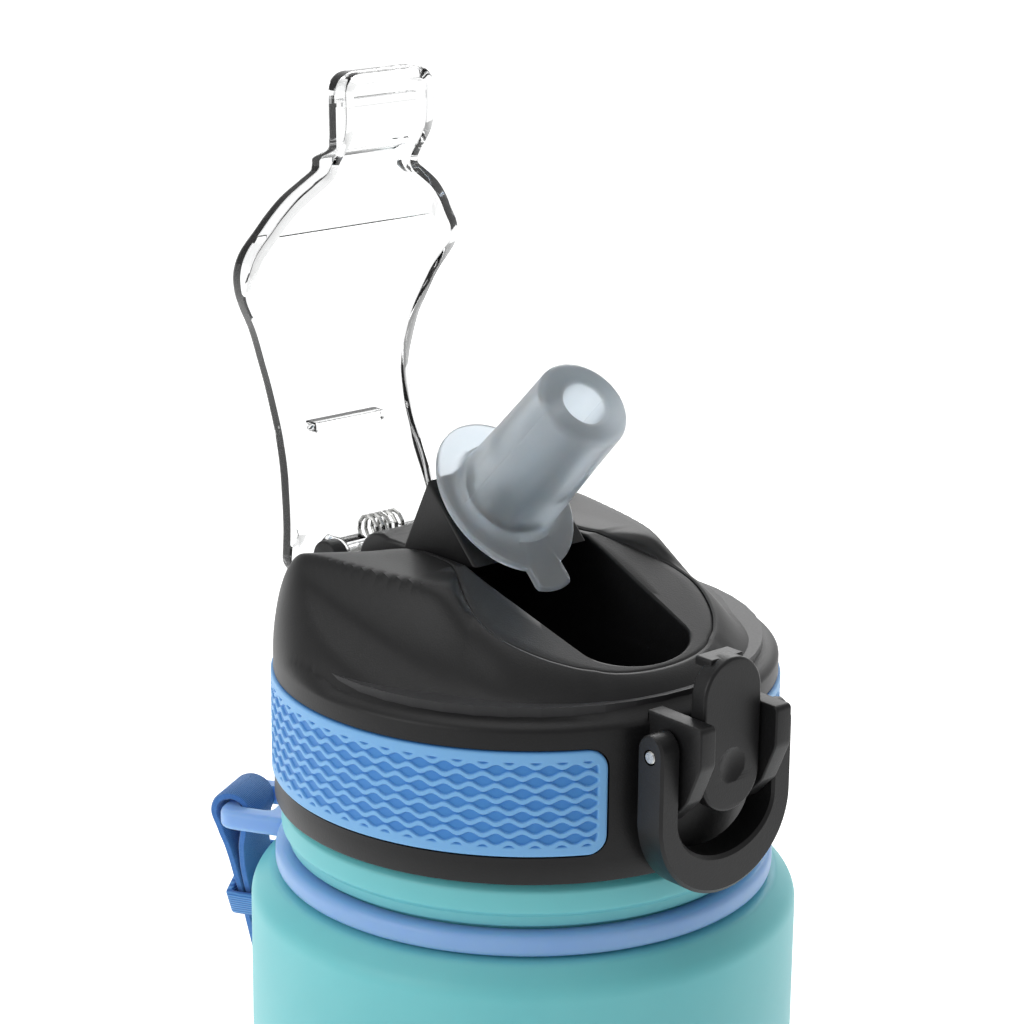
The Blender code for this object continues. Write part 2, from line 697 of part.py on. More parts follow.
def straw_socket(shell):
    """A sleeve under the trough floor that holds the straw, open to the seal above it."""
    y = SPOUT_PIVOT.y
    bore = STRAW_RADIUS + FIT
    floor_underside = TROUGH_FLOOR - TROUGH_WALL
    sleeve = rod("socket_sleeve", bore + SOCKET_WALL, (0, y, floor_underside - SOCKET_DEPTH),
        (0, y, TROUGH_FLOOR - 0.5 * MM))
    add(shell, sleeve)
    cut(shell, rod("socket_bore", bore, (0, y, -SOCKET_DEPTH * 2), (0, y, floor_underside - 0.4 * MM)))
    cut(shell, rod("socket_port", PORT_RADIUS, (0, y, 0), (0, y, TROUGH_FLOOR * 1.5)))


def cap_liner():
    outer = CAP_RADIUS - CAP_WALL - FIT
    inner = outer - LINER_WALL
    top = CEILING - FIT
    disc = LIP_HEIGHT + GASKET_THICKNESS + 2 * FIT
    hole = NECK_RADIUS - NECK_WALL + 0.3 * MM
    profile = [(hole, top), (outer, top), (outer, 1.5 * MM), (inner, 1.5 * MM), (inner, disc), (hole, disc)]
    liner = turned("cap_liner", profile, closed=True)
    start = THREAD_START - THREAD_PITCH / 2
    add(liner, thread_ridge("liner_thread", inner, -(inner - NECK_RADIUS - THREAD_CLEARANCE), 0, start))
    liner.data.materials.append(material("liner_plastic", (0.03, 0.03, 0.032), 0.5))
    return place(liner)


def cap_gasket():
    inner = NECK_RADIUS - NECK_WALL + 0.3 * MM
    gasket = tube("cap_gasket", inner, NECK_RADIUS + 0.8 * MM, LIP_HEIGHT + FIT,
        LIP_HEIGHT + FIT + GASKET_THICKNESS)
    gasket.data.materials.append(material("gasket_silicone", (0.75, 0.78, 0.8), 0.5))
    return place(gasket)


def panel_ring(name, side, grow):
    """A band of the skirt on one side of the cap, grown by a clearance for its recess."""
    outer = CAP_RADIUS + PANEL_PROUD + grow * 3
    inner = CAP_RADIUS + PANEL_PROUD - PANEL_DEPTH - grow
    low, high = PANEL_BOTTOM - grow, PANEL_TOP + grow
    margin = PANEL_GAP_ANGLE - grow / CAP_RADIUS
    steps = 30
    sections = []
    for i in range(steps + 1):
        angle = margin + (math.pi - 2 * margin) * i / steps - math.pi / 2
        across, along = side * math.cos(angle), math.sin(angle)
        corners = ((inner, low), (outer, low), (outer, high), (inner, high))
        sections.append([(radius * across, radius * along, height) for radius, height in corners])
    return loft(name, sections)


def grip_panel(name, side):
    panel = panel_ring(name, side, 0)
    panel.data.materials.append(material(name + "_silicone", (0.13, 0.40, 0.85), 0.5))
    return place(panel)


def cover_station(y):
    """(half width, underside, top) of the closed cover's section at y, heights from the rim."""
    if y > NOTCH_FRONT + 2 * FIT:
        corner = (y - NOTCH_FRONT) / (COVER_HINGE.y + 3 * MM - NOTCH_FRONT)
        top = CAP_TOP + FIT + COVER_DEPTH - 2.6 * MM * max(corner, 0) ** 2
        return NOTCH_HALF - 0.6 * MM - 1.2 * MM * max(corner, 0) ** 2, COVER_HINGE.z + 3.6 * MM, top
    if y > SEAT_FRONT + 0.4 * MM:
        half = max(seat_half_width(min(y, SEAT_BACK - 2 * MM)), COVER_NECK)
        underside = seat_height(y) + FIT
        return half, underside, underside + COVER_DEPTH
    rise = 0.9 * MM * max(0.0, 1 + (y - SEAT_FRONT + 0.6 * MM) / (3.4 * MM))
    return COVER_NECK, NECK_UNDERSIDE + rise, NECK_TOP


def flip_cover():
    """Modelled closed, about its hinge, then opened. A tray whose walls follow the seat's outline."""
    back, front = COVER_HINGE.y + 3 * MM, COVER_TIP
    stations = [back, 34.2 * MM, 32.0 * MM, NOTCH_FRONT + 3 * FIT, NOTCH_FRONT + FIT]
    stations += [y * MM for y in (26, 21, 16, 11, 7, 3, 0, -3, -6, -9, -12, -15, -18, -20.5, -22.5, -24,
        -25.3, -26.5)]
    stations += [SEAT_FRONT - 0.6 * MM, SEAT_FRONT - 4 * MM, front]
    sections = []
    for y in stations:
        half, underside, top = cover_station(y)
        inner, ceiling, soft = half - COVER_WALL, top - COVER_WALL, 1.2 * MM
        outline = [(half, underside), (half, top - soft), (half - soft, top), (soft - half, top),
            (-half, top - soft)]
        outline += [(-half, underside), (-inner, underside), (-inner, ceiling), (inner, ceiling),
            (inner, underside)]
        sections.append([Vector((x, y, z)) - COVER_HINGE for x, z in outline])
    cover = loft("flip_cover", sections)
    place(cover, COVER_HINGE, (-COVER_OPEN, 0, 0))
    for piece in cover_details():
        add(cover, place(piece, COVER_HINGE, (-COVER_OPEN, 0, 0)))
    reach_out = Vector((HINGE_LUG_OUTER, 0, 0))
    cut(cover, rod("cover_pin_hole", HINGE_PIN_RADIUS + FIT, COVER_HINGE - reach_out,
        COVER_HINGE + reach_out))
    cover.data.materials.append(material("clear_plastic", (0.92, 0.94, 0.95), 0.05))
    return cover


def cover_details():
    """The back wall, the end wall of the neck, the press rib and the two hinge knuckles."""
    hinge = COVER_HINGE
    back = hinge.y + 3 * MM
    half, low, top = cover_station(back)
    details = [box("cover_back", (-half, back - COVER_WALL, low), (half, back, top - 0.3 * MM))]
    details.append(box("cover_end", (-COVER_NECK, COVER_TIP, NECK_UNDERSIDE),
        (COVER_NECK, COVER_TIP + 1.6 * MM, NECK_TOP)))
    ceiling = CAP_TOP + FIT + COVER_DEPTH - COVER_WALL
    details.append(box("cover_rib", (-6 * MM, 14 * MM, ceiling - 2.4 * MM),
        (6 * MM, 15.6 * MM, ceiling + 0.5 * MM)))
    for piece in details:
        piece.data.transform(Matrix.Translation(-hinge))
    outline = arc((0, 0), HINGE_KNUCKLE, 0, -180, 12) + [(-HINGE_KNUCKLE, 1 * MM), (1.2 * MM, 4.6 * MM),
        (HINGE_KNUCKLE, 4.6 * MM)]
    outer = HINGE_LUG_INNER - 1.3 * FIT
    width = outer - KNUCKLE_INNER
    for side in (-1, 1):
        knuckle = slab(f"cover_knuckle_{side}", [outline], width, "YZ")
        knuckle.data.transform(Matrix.Translation((side * (outer - width / 2), 0, 0)))
        details.append(knuckle)
    return details


def spout_axis():
    return Vector((0, -math.sin(SPOUT_TILT), math.cos(SPOUT_TILT)))


def arm_half_width():
    return TROUGH_WIDTHS[1][1] * MM - ARM_SIDE_GAP


def spout_arm():
    axis = spout_axis()
    upward = Vector((0, math.cos(SPOUT_TILT), math.sin(SPOUT_TILT)))
    face = SPOUT_FLANGE - SPOUT_PIVOT - axis * (FLANGE_THICKNESS / 2 + FIT)
    upper, lower = face + upward * ARM_UPPER, face - upward * ARM_LOWER
    waist = upper + Vector((0, 5.2 * MM, -10.4 * MM))
    heel = (-6.7 * MM, -0.3 * MM)  # clears the seal when the arm is folded
    outline = [(upper.y, upper.z), (lower.y, lower.z), heel] + arc((0, 0), ARM_KNUCKLE, -170, 110, 16)
    outline.append((waist.y, waist.z))
    arm = slab("spout_arm", [outline], arm_half_width() * 2, "YZ")
    place(arm, SPOUT_PIVOT)
    inlet = face - axis * 22.3 * MM
    for bore in (
        rod("arm_pin_hole", SPOUT_PIN_RADIUS + FIT, (-20 * MM, 0, 0), (20 * MM, 0, 0)),
        rod("arm_spigot_bore", SPIGOT_RADIUS + FIT, face - axis * (SPIGOT_LENGTH + FIT),
            face + axis * 9 * MM),
        rod("arm_passage", PORT_RADIUS, inlet, face + axis * 5 * MM),
        rod("arm_inlet", PORT_RADIUS, (0, 0, -9 * MM), (0, 0, -3 * MM)),
    ):
        cut(arm, place(bore, SPOUT_PIVOT))
    arm.data.materials.append(material("black_arm", (0.012, 0.012, 0.013), 0.38))
    return arm


def mouthpiece(arm):
    """A soft nozzle with an egg-shaped flange, on a spigot in the arm."""
    wide = NOZZLE_RADIUS + 0.5 * MM
    tip, edge = NOZZLE_LENGTH, NOZZLE_RADIUS - 0.5 * MM
    profile = [(NOZZLE_BORE, tip), (edge - 1.2 * MM, tip), (edge, tip - 1.2 * MM),
        (wide, FLANGE_THICKNESS / 4)]
    profile += [(SPIGOT_RADIUS, FLANGE_THICKNESS / 4), (SPIGOT_RADIUS, -SPIGOT_LENGTH),
        (NOZZLE_BORE, -SPIGOT_LENGTH)]
    nozzle = turned("mouthpiece", profile, 32, closed=True)
    squeeze = FLANGE_HALF_HEIGHT / FLANGE_HALF_WIDTH
    ring = arc((0, 0), FLANGE_HALF_WIDTH, 0, 360, 32, squeeze)[:-1]
    hole = arc((0, 0), SPIGOT_RADIUS - 0.5 * MM, 0, 360, 24)[:-1]
    flange = slab("nozzle_flange", [ring, hole], FLANGE_THICKNESS)
    low = -FLANGE_HALF_HEIGHT - TAB_LENGTH
    thick = FLANGE_THICKNESS / 2
    tab = box("nozzle_tab", (-TAB_WIDTH / 2, low, -thick * 0.9),
        (TAB_WIDTH / 2, 1.5 * MM - FLANGE_HALF_HEIGHT, thick * 0.9))
    where = SPOUT_FLANGE - SPOUT_PIVOT
    tilt = (SPOUT_TILT, 0, 0)
    for piece in (flange, tab):
        add(nozzle, place(piece, where, tilt, arm))
    nozzle.data.materials.append(material("clear_silicone", (0.72, 0.82, 0.90), 0.3))
    return place(nozzle, where, tilt, arm)


def spout_fittings():
    """Seal, valve and straw, which stay on the cap."""
    y = SPOUT_PIVOT.y
    top = SPOUT_PIVOT.z - ARM_KNUCKLE - SEAL_GAP
    bottom, slant = TROUGH_FLOOR + FIT, 0.5 * MM
    profile = [(PORT_RADIUS, top), (SEAL_RADIUS - slant, top), (SEAL_RADIUS, top - slant)]
    profile += [(SEAL_RADIUS, bottom), (PORT_RADIUS, bottom)]
    seal = turned("spout_seal", profile, 24, closed=True)
    seal.data.materials.append(material("seal_silicone", (0.7, 0.72, 0.74), 0.5))
    place(seal, (0, y, 0))
    rest = TROUGH_FLOOR + FIT
    below = TROUGH_FLOOR - TROUGH_WALL - FIT
    stem = VALVE_RADIUS
    profile = [(0, rest + 0.9 * MM), (stem + 1.0 * MM, rest + 0.9 * MM), (stem + 1.0 * MM, rest),
        (stem, rest)]
    profile += [(stem, below), (stem + 0.6 * MM, below), (0.5 * MM, below - 2.4 * MM), (0, below - 2.4 * MM)]
    valve = turned("vent_valve", profile, 16)
    valve.data.materials.append(material("valve_silicone", (0.7, 0.72, 0.74), 0.5))
    place(valve, (0, VALVE_Y, 0))
    straw_top = TROUGH_FLOOR - TROUGH_WALL - 0.4 * MM - FIT
    straw_end = STRAW_FLOOR_GAP + BODY_WALL - RIM_HEIGHT
    straw = tube("straw", STRAW_RADIUS - STRAW_WALL, STRAW_RADIUS, straw_end, straw_top, 24)
    straw.data.materials.append(material("straw_plastic", (0.85, 0.9, 0.92), 0.3))
    place(straw, (0, y, 0))


def pins():
    steel = material("steel", (0.62, 0.62, 0.6), 0.25, 1.0)
    spout_half = arm_half_width() + ARM_SIDE_GAP + TROUGH_WALL - FIT
    wanted = (
        ("cover_hinge_pin", HINGE_PIN_RADIUS, HINGE_LUG_OUTER - FIT, COVER_HINGE),
        ("spout_pin", SPOUT_PIN_RADIUS, spout_half, SPOUT_PIVOT),
        ("latch_pin", LATCH_PIN_RADIUS, LATCH_PIN_HALF, LATCH_AXIS),
    )
    for name, radius, half, where in wanted:
        pin = rod(name, radius, (-half, 0, 0), (half, 0, 0), 16)
        pin.data.materials.append(steel)
        place(pin, where)


def latch_button():
    """An obround rocker on a hub, with a tooth that holds the cover's neck and a thumb dimple."""
    low, high = BUTTON_BOTTOM - LATCH_AXIS.z, BUTTON_TOP - LATCH_AXIS.z
    half = BUTTON_HALF_WIDTH
    outline = arc((0, low + half), half, -180, 0, 14) + arc((0, high - half), half, 0, 180, 14)
    button = slab("latch_button", [outline], BUTTON_THICKNESS, "XZ")
    middle = BUTTON_FACE + BUTTON_THICKNESS / 2 - LATCH_AXIS.y
    button.data.transform(Matrix.Translation((0, middle, 0)))
    place(button, LATCH_AXIS)
    rear = middle + BUTTON_THICKNESS / 2
    tooth_low = NECK_TOP + FIT - LATCH_AXIS.z
    tooth = box("button_tooth", (-TOOTH_HALF_WIDTH, rear - 1 * MM, tooth_low),
        (TOOTH_HALF_WIDTH, rear + TOOTH_REACH, high - 0.1 * MM))
    hub = rod("button_hub", BUTTON_HUB, (-half, 0, 0), (half, 0, 0))
    add(button, place(hub, LATCH_AXIS), place(tooth, LATCH_AXIS))
    cut(button, place(rod("button_pin_hole", LATCH_PIN_RADIUS + FIT, (-half * 2, 0, 0), (half * 2, 0, 0)),
        LATCH_AXIS))
    ball = bmesh.new()
    bmesh.ops.create_uvsphere(ball, u_segments=20, v_segments=12, radius=DIMPLE_RADIUS)
    dimple = mesh_object("button_dimple", ball)
    centre = (0, BUTTON_FACE - DIMPLE_RADIUS + DIMPLE_DEPTH, DIMPLE_HEIGHT)
    cut(button, place(dimple, centre))
    button.data.materials.append(material("black_button", (0.014, 0.014, 0.015), 0.35))
    return button


def lock_bail():
    """A U that hangs from the latch pin and swings up over the closed cover's neck."""
    outer = BUTTON_HALF_WIDTH + EAR_WIDTH + 2 * FIT + BAIL_ARM
    inner = outer - BAIL_ARM
    arc_z = BAIL_ARC_HEIGHT - LATCH_AXIS.z
    drop = BAIL_ARC_HEIGHT - BAIL_BOTTOM
    outline = [(outer, 0)] + arc((0, arc_z), outer, 0, -180, 18, drop / outer) + [(-outer, 0), (-inner, 0)]
    outline += arc((0, arc_z), inner, -180, 0, 18, (drop - BAIL_BAR) / inner) + [(inner, 0)]
    bail = slab("lock_bail", [outline], BAIL_DEPTH, "XZ")
    place(bail, LATCH_AXIS)
    for side in (-1, 1):
        eye = rod(f"bail_eye_{side}", BAIL_EYE, (side * inner, 0, 0), (side * outer, 0, 0))
        add(bail, place(eye, LATCH_AXIS))
    hole = rod("bail_pin_hole", LATCH_PIN_RADIUS + FIT, (-outer * 2, 0, 0), (outer * 2, 0, 0))
    cut(bail, place(hole, LATCH_AXIS))
    bail.data.materials.append(material("black_bail", (0.014, 0.014, 0.015), 0.4))
    return bail


def springs():
    steel = material("spring_steel", (0.5, 0.5, 0.5), 0.3, 1.0)
    wire = 0.6 * MM
    radius = HINGE_PIN_RADIUS + FIT + wire / 2 + 0.2 * MM
    length = 2 * (KNUCKLE_INNER - FIT) - wire
    legs = ((radius, -2.6 * MM, -length / 2), (radius, 3.4 * MM, length / 2))
    cover = coil("cover_spring", radius, wire, 5, length, legs)
    cover.data.materials.append(steel)
    place(cover, COVER_HINGE, (0, math.radians(90), 0))
    seat = -CAP_RADIUS - FIT
    length = seat - (BUTTON_FACE + BUTTON_THICKNESS) - BUTTON_TRAVEL
    wire = 0.4 * MM
    button = coil("latch_spring", 1.7 * MM, wire, 3, length - wire)
    button.data.materials.append(steel)
    place(button, (0, seat - length / 2, LATCH_AXIS.z - 6.3 * MM), (math.radians(90), 0, 0))


clear_scene()
PARTS = collection("sports_bottle")
CUTTERS = collection("cutters")
RIM = rim_empty()

bottle_body()
carry_ring()
wrist_strap()
strap_clip()
cap_shell()
cap_liner()
cap_gasket()
grip_panel("grip_panel_left", -1)
grip_panel("grip_panel_right", 1)
flip_cover()
mouthpiece(spout_arm())
spout_fittings()
latch_button()
lock_bail()
pins()
springs()
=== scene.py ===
# %% [markdown]
# # A sports bottle with a flip spout
# The bottle was first built as a set of solid parts with working joints. This lesson loads those parts as a
# frame and gives each one its visible shape and finish. The frame says where every part sits, so nothing here
# is placed by guesswork.

import math

import bmesh
import bpy
import numpy as np
from mathutils import Matrix, Vector


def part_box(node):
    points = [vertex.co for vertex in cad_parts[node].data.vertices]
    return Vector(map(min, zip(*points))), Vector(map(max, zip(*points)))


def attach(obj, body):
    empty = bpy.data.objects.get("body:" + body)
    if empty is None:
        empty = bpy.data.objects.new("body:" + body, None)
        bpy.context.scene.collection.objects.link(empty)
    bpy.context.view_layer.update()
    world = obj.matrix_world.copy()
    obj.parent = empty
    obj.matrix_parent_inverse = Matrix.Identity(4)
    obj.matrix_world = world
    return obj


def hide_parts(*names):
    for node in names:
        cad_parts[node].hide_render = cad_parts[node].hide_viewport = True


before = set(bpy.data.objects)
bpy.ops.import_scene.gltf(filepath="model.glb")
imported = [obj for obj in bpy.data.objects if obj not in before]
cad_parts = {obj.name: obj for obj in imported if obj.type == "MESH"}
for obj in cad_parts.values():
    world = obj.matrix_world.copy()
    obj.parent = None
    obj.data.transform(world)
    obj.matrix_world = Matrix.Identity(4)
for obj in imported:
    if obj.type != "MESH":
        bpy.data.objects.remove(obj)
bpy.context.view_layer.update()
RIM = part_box("cap_shell")[0].z  # the cap's lower rim, from which the cap's heights are given

# %% [markdown]
# ## Camera
# The bottle is seen from its front left and a little above, close to the cap, with a long lens that keeps the
# cap's ellipses narrow. The camera is turned towards the cap's rim first, and then tipped up a few degrees, so
# that the open cover fits above and the bottle's shoulder below.

# %% Camera
CAMERA_DISTANCE = 0.45
CAMERA_AZIMUTH = math.radians(-41)
CAMERA_HEIGHT_ANGLE = 0.37923
CAMERA_TIP = Matrix.Rotation(0.00487, 3, "Y") @ Matrix.Rotation(0.08717, 3, "X") @ Matrix.Rotation(0.01171, 3, "Z")


def make_camera():
    level = math.cos(CAMERA_HEIGHT_ANGLE)
    back = Vector((math.sin(CAMERA_AZIMUTH) * level, -math.cos(CAMERA_AZIMUTH) * level, math.sin(CAMERA_HEIGHT_ANGLE)))
    data = bpy.data.cameras.new("camera")
    data.sensor_width = 36
    data.lens = 110.44
    data.clip_start = 0.01
    camera = bpy.data.objects.new("camera", data)
    bpy.context.scene.collection.objects.link(camera)
    turn = back.to_track_quat("Z", "Y").to_matrix() @ CAMERA_TIP
    camera.matrix_world = Matrix.Translation(Vector((0, 0, RIM)) + back * CAMERA_DISTANCE) @ turn.to_4x4()
    bpy.context.scene.camera = camera
    return camera


camera = make_camera()
print("camera at", [round(v, 3) for v in camera.location])

# %% [markdown]
# ## Shader arithmetic
# A finish is a small network of nodes. Writing the network as ordinary sums keeps it readable, so `Signal`
# wraps one socket and adds a Math node for each sign, and `Finish` makes any other node in one call. What is
# the same all over a surface is set straight on the shader.

# %% Signals and finishes


class Signal:
    """One output socket, which + - * / and ** work on."""

    def __init__(self, finish, socket):
        self.finish, self.socket = finish, socket

    def math(self, operation, first, second):
        return self.finish.node("ShaderNodeMath", {"operation": operation}, {0: first, 1: second})

    def __add__(self, other):
        return self.math("ADD", self, other)

    def __sub__(self, other):
        return self.math("SUBTRACT", self, other)

    def __rsub__(self, other):
        return self.math("SUBTRACT", other, self)

    def __mul__(self, other):
        return self.math("MULTIPLY", self, other)

    def __pow__(self, other):
        return self.math("POWER", self, other)

    __radd__, __rmul__ = __add__, __mul__


class Finish:
    """A material whose shader constants are given by name, and whose nodes come from node()."""

    def __init__(self, name, colour, **constants):
        self.material = bpy.data.materials.new(name)
        self.material.use_nodes = True
        self.tree = self.material.node_tree
        self.shader = self.tree.nodes["Principled BSDF"]
        self.shader.inputs["Base Color"].default_value = (*colour, 1)
        for socket, value in constants.items():
            self.shader.inputs[socket.replace("_", " ")].default_value = value
        self.place = self.node("ShaderNodeTexCoord", output="Object")

    def node(self, kind, settings=None, sockets=None, output=0):
        """Adds a node: its settings first, then values or links for its sockets. Gives one output."""
        made = self.tree.nodes.new(kind)
        for name, value in (settings or {}).items():
            if name == "stops":
                for stop, (position, colour) in zip(self.stops(made, len(value)), value):
                    stop.position, stop.color = position, (*colour, 1)
            else:
                setattr(made, name, value)
        for key, value in (sockets or {}).items():
            self.feed(made.inputs[key], value)
        return Signal(self, made.outputs[output])

    def stops(self, ramp, count):
        while len(ramp.color_ramp.elements) < count:
            ramp.color_ramp.elements.new(1)
        return ramp.color_ramp.elements

    def feed(self, socket, value):
        if isinstance(value, Signal):
            self.tree.links.new(value.socket, socket)
        else:
            socket.default_value = value

    def use(self, **sockets):
        for name, value in sockets.items():
            self.feed(self.shader.inputs[name.replace("_", " ")], value)
        return self

    def noise(self, scale, detail=2.0, place=None):
        sockets = {"Vector": place or self.place, "Scale": scale, "Detail": detail}
        return self.node("ShaderNodeTexNoise", sockets=sockets)

    def mix(self, share, one, other):
        """A colour between two, as a Mix node."""
        sides = [side if isinstance(side, Signal) else (*side, 1) for side in (one, other)]
        sockets = {0: share, 6: sides[0], 7: sides[1]}
        return self.node("ShaderNodeMix", {"data_type": "RGBA"}, sockets, output=2)

    def bump(self, height, distance, strength=1.0):
        return self.node("ShaderNodeBump", sockets={"Height": height, "Distance": distance, "Strength": strength})


def srgb(red, green, blue):
    """A colour as it looks on a screen, 0 to 255, turned into the linear values that shaders use."""
    return tuple(((v / 255 + 0.055) / 1.055) ** 2.4 if v > 10 else v / 255 / 12.92 for v in (red, green, blue))


print("shader helpers ready")

# %% [markdown]
# ## Stage
# Studio light for a black and clear object is mostly white card: the black plastic shows only what it
# reflects, and the clear cover only what it bends. So the floor and the sky are nearly white, and the floor
# also glows with painted light, bright behind the bottle and dim before it. Large soft boxes stand left, right
# and behind, and dark card outside the view draws the clear edges.

# %% Floor and lights


def make_floor():
    mesh = bpy.data.meshes.new("floor")
    mesh.from_pydata([(-8, -8, 0), (8, -8, 0), (8, 8, 0), (-8, 8, 0)], [], [(0, 1, 2, 3)])
    floor = bpy.data.objects.new("floor", mesh)
    bpy.context.scene.collection.objects.link(floor)
    paper = Finish("paper", (0.9, 0.9, 0.9), Roughness=0.9, Emission_Color=(1, 1, 1, 1), Emission_Strength=0.75)
    cloudy = paper.noise(3.0)
    x, y = (paper.node("ShaderNodeSeparateXYZ", {}, {"Vector": paper.place}, axis) for axis in "XY")
    # Painted light: the floor's glow is white behind the bottle and only dim before it.
    behind = paper.node("ShaderNodeMapRange", {}, {"Value": x * 0.656 + y * 0.755, "From Min": -0.5, "From Max": 0.1})
    paper.use(Emission_Color=paper.mix(behind, (0.1, 0.1, 0.1), (1, 1, 1)))
    paper.use(Base_Color=paper.mix(cloudy, (0.90, 0.90, 0.90), (0.93, 0.93, 0.93)))
    mesh.materials.append(paper.material)
    return floor


def soft_box(name, place, aim, size, power, tint=(1, 1, 1)):
    data = bpy.data.lights.new(name, "AREA")
    data.shape = "RECTANGLE"
    data.size, data.size_y = size
    data.energy = power
    data.color = tint
    lamp = bpy.data.objects.new(name, data)
    bpy.context.scene.collection.objects.link(lamp)
    away = Vector(place) - Vector(aim)
    lamp.matrix_world = Matrix.Translation(place) @ away.to_track_quat("Z", "Y").to_matrix().to_4x4()
    return lamp


def make_sky(behind, before):
    """A white wall behind the bottle and a dimmer room before it, so that clear plastic shows its edges."""
    world = bpy.data.worlds.new("studio")
    bpy.context.scene.world = world
    world.use_nodes = True
    tree = world.node_tree
    backdrop = tree.nodes["Background"]
    backdrop.inputs["Color"].default_value = (1, 1, 1, 1)
    direction = tree.nodes.new("ShaderNodeTexCoord")
    facing = tree.nodes.new("ShaderNodeVectorMath")
    facing.operation = "DOT_PRODUCT"
    facing.inputs[1].default_value = (0.656, 0.755, -0.45)
    fade = tree.nodes.new("ShaderNodeMapRange")
    tree.links.new(direction.outputs["Generated"], facing.inputs[0])
    tree.links.new(facing.outputs["Value"], fade.inputs["Value"])
    for name, value in (("From Min", 0.0), ("From Max", 0.6), ("To Min", before), ("To Max", behind)):
        fade.inputs[name].default_value = value
    tree.links.new(fade.outputs["Result"], backdrop.inputs["Strength"])
    return world


floor = make_floor()
make_sky(1.02, 0.4)
cap_centre = (0, 0, RIM + 0.02)
soft_box("box_left", (-1.1, 0.15, 0.75), cap_centre, (0.8, 0.8), 4.5)
soft_box("box_right", (0.9, 0.7, 0.8), cap_centre, (0.6, 0.6), 2.5)
soft_box("box_top", (0.0, 0.2, 1.5), cap_centre, (0.9, 0.9), 3)
bpy.context.scene.view_settings.view_transform = "Standard"

# %% [markdown]
# ## Shape helpers
# Most parts here are moulded or turned, so they are skins over rows of points: a row for each direction or
# each height. Heights in these rows are in millimetres above the cap's rim, because that is how a cap is
# drawn, and `piece` turns them into metres.

# %% Shape helpers


def piece(name, points, faces, sharp=32):
    """An object from points in mm above the cap's rim."""
    mesh = bpy.data.meshes.new(name)
    points = np.asarray(points, float) / 1000 + (0, 0, RIM)
    mesh.from_pydata(points.tolist(), [], faces)
    obj = bpy.data.objects.new(name, mesh)
    bpy.context.scene.collection.objects.link(obj)
    return tidy(obj, sharp)


def tidy(obj, sharp=32):
    """Welds doubles, turns the faces outward and shades smooth but for edges sharper than an angle."""
    shape = bmesh.new()
    shape.from_mesh(obj.data)
    bmesh.ops.remove_doubles(shape, verts=shape.verts, dist=0.000002)
    bmesh.ops.recalc_face_normals(shape, faces=shape.faces)
    shape.to_mesh(obj.data)
    shape.free()
    obj.data.shade_smooth()
    obj.data.set_sharp_from_angle(angle=math.radians(sharp))
    return obj


def skin(rows, wrap_rows=True, wrap_points=False):
    """Points and faces of a net over equal rows."""
    rows = np.asarray(rows, float)
    count, width = rows.shape[:2]
    index = np.arange(count * width).reshape(count, width)
    if wrap_rows:
        index = np.vstack([index, index[:1]])
    if wrap_points:
        index = np.hstack([index, index[:, :1]])
    corners = (index[:-1, :-1], index[:-1, 1:], index[1:, 1:], index[1:, :-1])
    faces = np.stack([corner.ravel() for corner in corners], 1)
    return rows.reshape(-1, 3), faces.tolist()


def turned(name, profile, steps=192, closed=False, sharp=32):
    """A profile of (radius, height) turned about the bottle's axis."""
    profile = np.asarray(profile, float)
    rows = []
    for angle in np.linspace(0, 2 * math.pi, steps, endpoint=False):
        radius, height = profile[:, 0], profile[:, 1]
        rows.append(np.stack([radius * math.cos(angle), radius * math.sin(angle), height], 1))
    return piece(name, *skin(rows, wrap_points=closed), sharp)


def rounded(corners, radius, steps=6):
    """A line of (a, b) points with its inner corners rounded. radius is one number or one for each corner."""
    corners = [Vector(corner) for corner in corners]
    radii = radius if isinstance(radius, (list, tuple)) else [radius] * (len(corners) - 2)
    line = [corners[0]]
    for before, corner, after, size in zip(corners, corners[1:], corners[2:], radii):
        into, out = (before - corner).normalized(), (after - corner).normalized()
        half = into.angle(out) / 2
        reach = min(size / math.tan(half), (before - corner).length / 2, (after - corner).length / 2)
        start, end = corner + into * reach, corner + out * reach
        for i in range(steps + 1):
            t = i / steps
            line.append(start * (1 - t) ** 2 + corner * (2 * t * (1 - t)) + end * t**2)
    return line + [corners[-1]]


def circle(centre, radius, start, end, steps=16):
    """Points of a circle between two angles in degrees."""
    turns = [math.radians(start + (end - start) * i / steps) for i in range(steps + 1)]
    return [(centre[0] + radius * math.cos(t), centre[1] + radius * math.sin(t)) for t in turns]


PLANES = {"XY": Matrix.Identity(3), "XZ": Matrix(((1, 0, 0), (0, 0, -1), (0, 1, 0))), "YZ": Matrix(((0, 0, 1), (1, 0, 0), (0, 1, 0)))}


def plate(name, outlines, thickness, edge, plane="XY", place=(0, 0, 0), turn=None):
    """A flat moulding with rounded edges: an outline in mm, and holes, given thickness and an edge radius."""
    curve = bpy.data.curves.new(name, "CURVE")
    curve.dimensions, curve.fill_mode = "2D", "BOTH"
    curve.extrude = thickness / 2 - edge
    curve.bevel_depth, curve.bevel_resolution, curve.offset = edge, 4, -edge
    for outline in outlines:
        spline = curve.splines.new("POLY")
        spline.points.add(len(outline) - 1)
        for point, corner in zip(spline.points, outline):
            point.co = (corner[0], corner[1], 0, 1)
        spline.use_cyclic_u = True
    obj = bpy.data.objects.new(name, curve)
    bpy.context.scene.collection.objects.link(obj)
    bpy.context.view_layer.update()
    mesh = bpy.data.meshes.new_from_object(obj.evaluated_get(bpy.context.evaluated_depsgraph_get()))
    bpy.data.objects.remove(obj)
    move = Matrix.Translation((0, 0, RIM)) @ Matrix.Scale(0.001, 4) @ Matrix.Translation(place)
    mesh.transform(move @ (turn or Matrix.Identity(4)) @ PLANES[plane].to_4x4())
    made = bpy.data.objects.new(name, mesh)
    bpy.context.scene.collection.objects.link(made)
    return tidy(made)


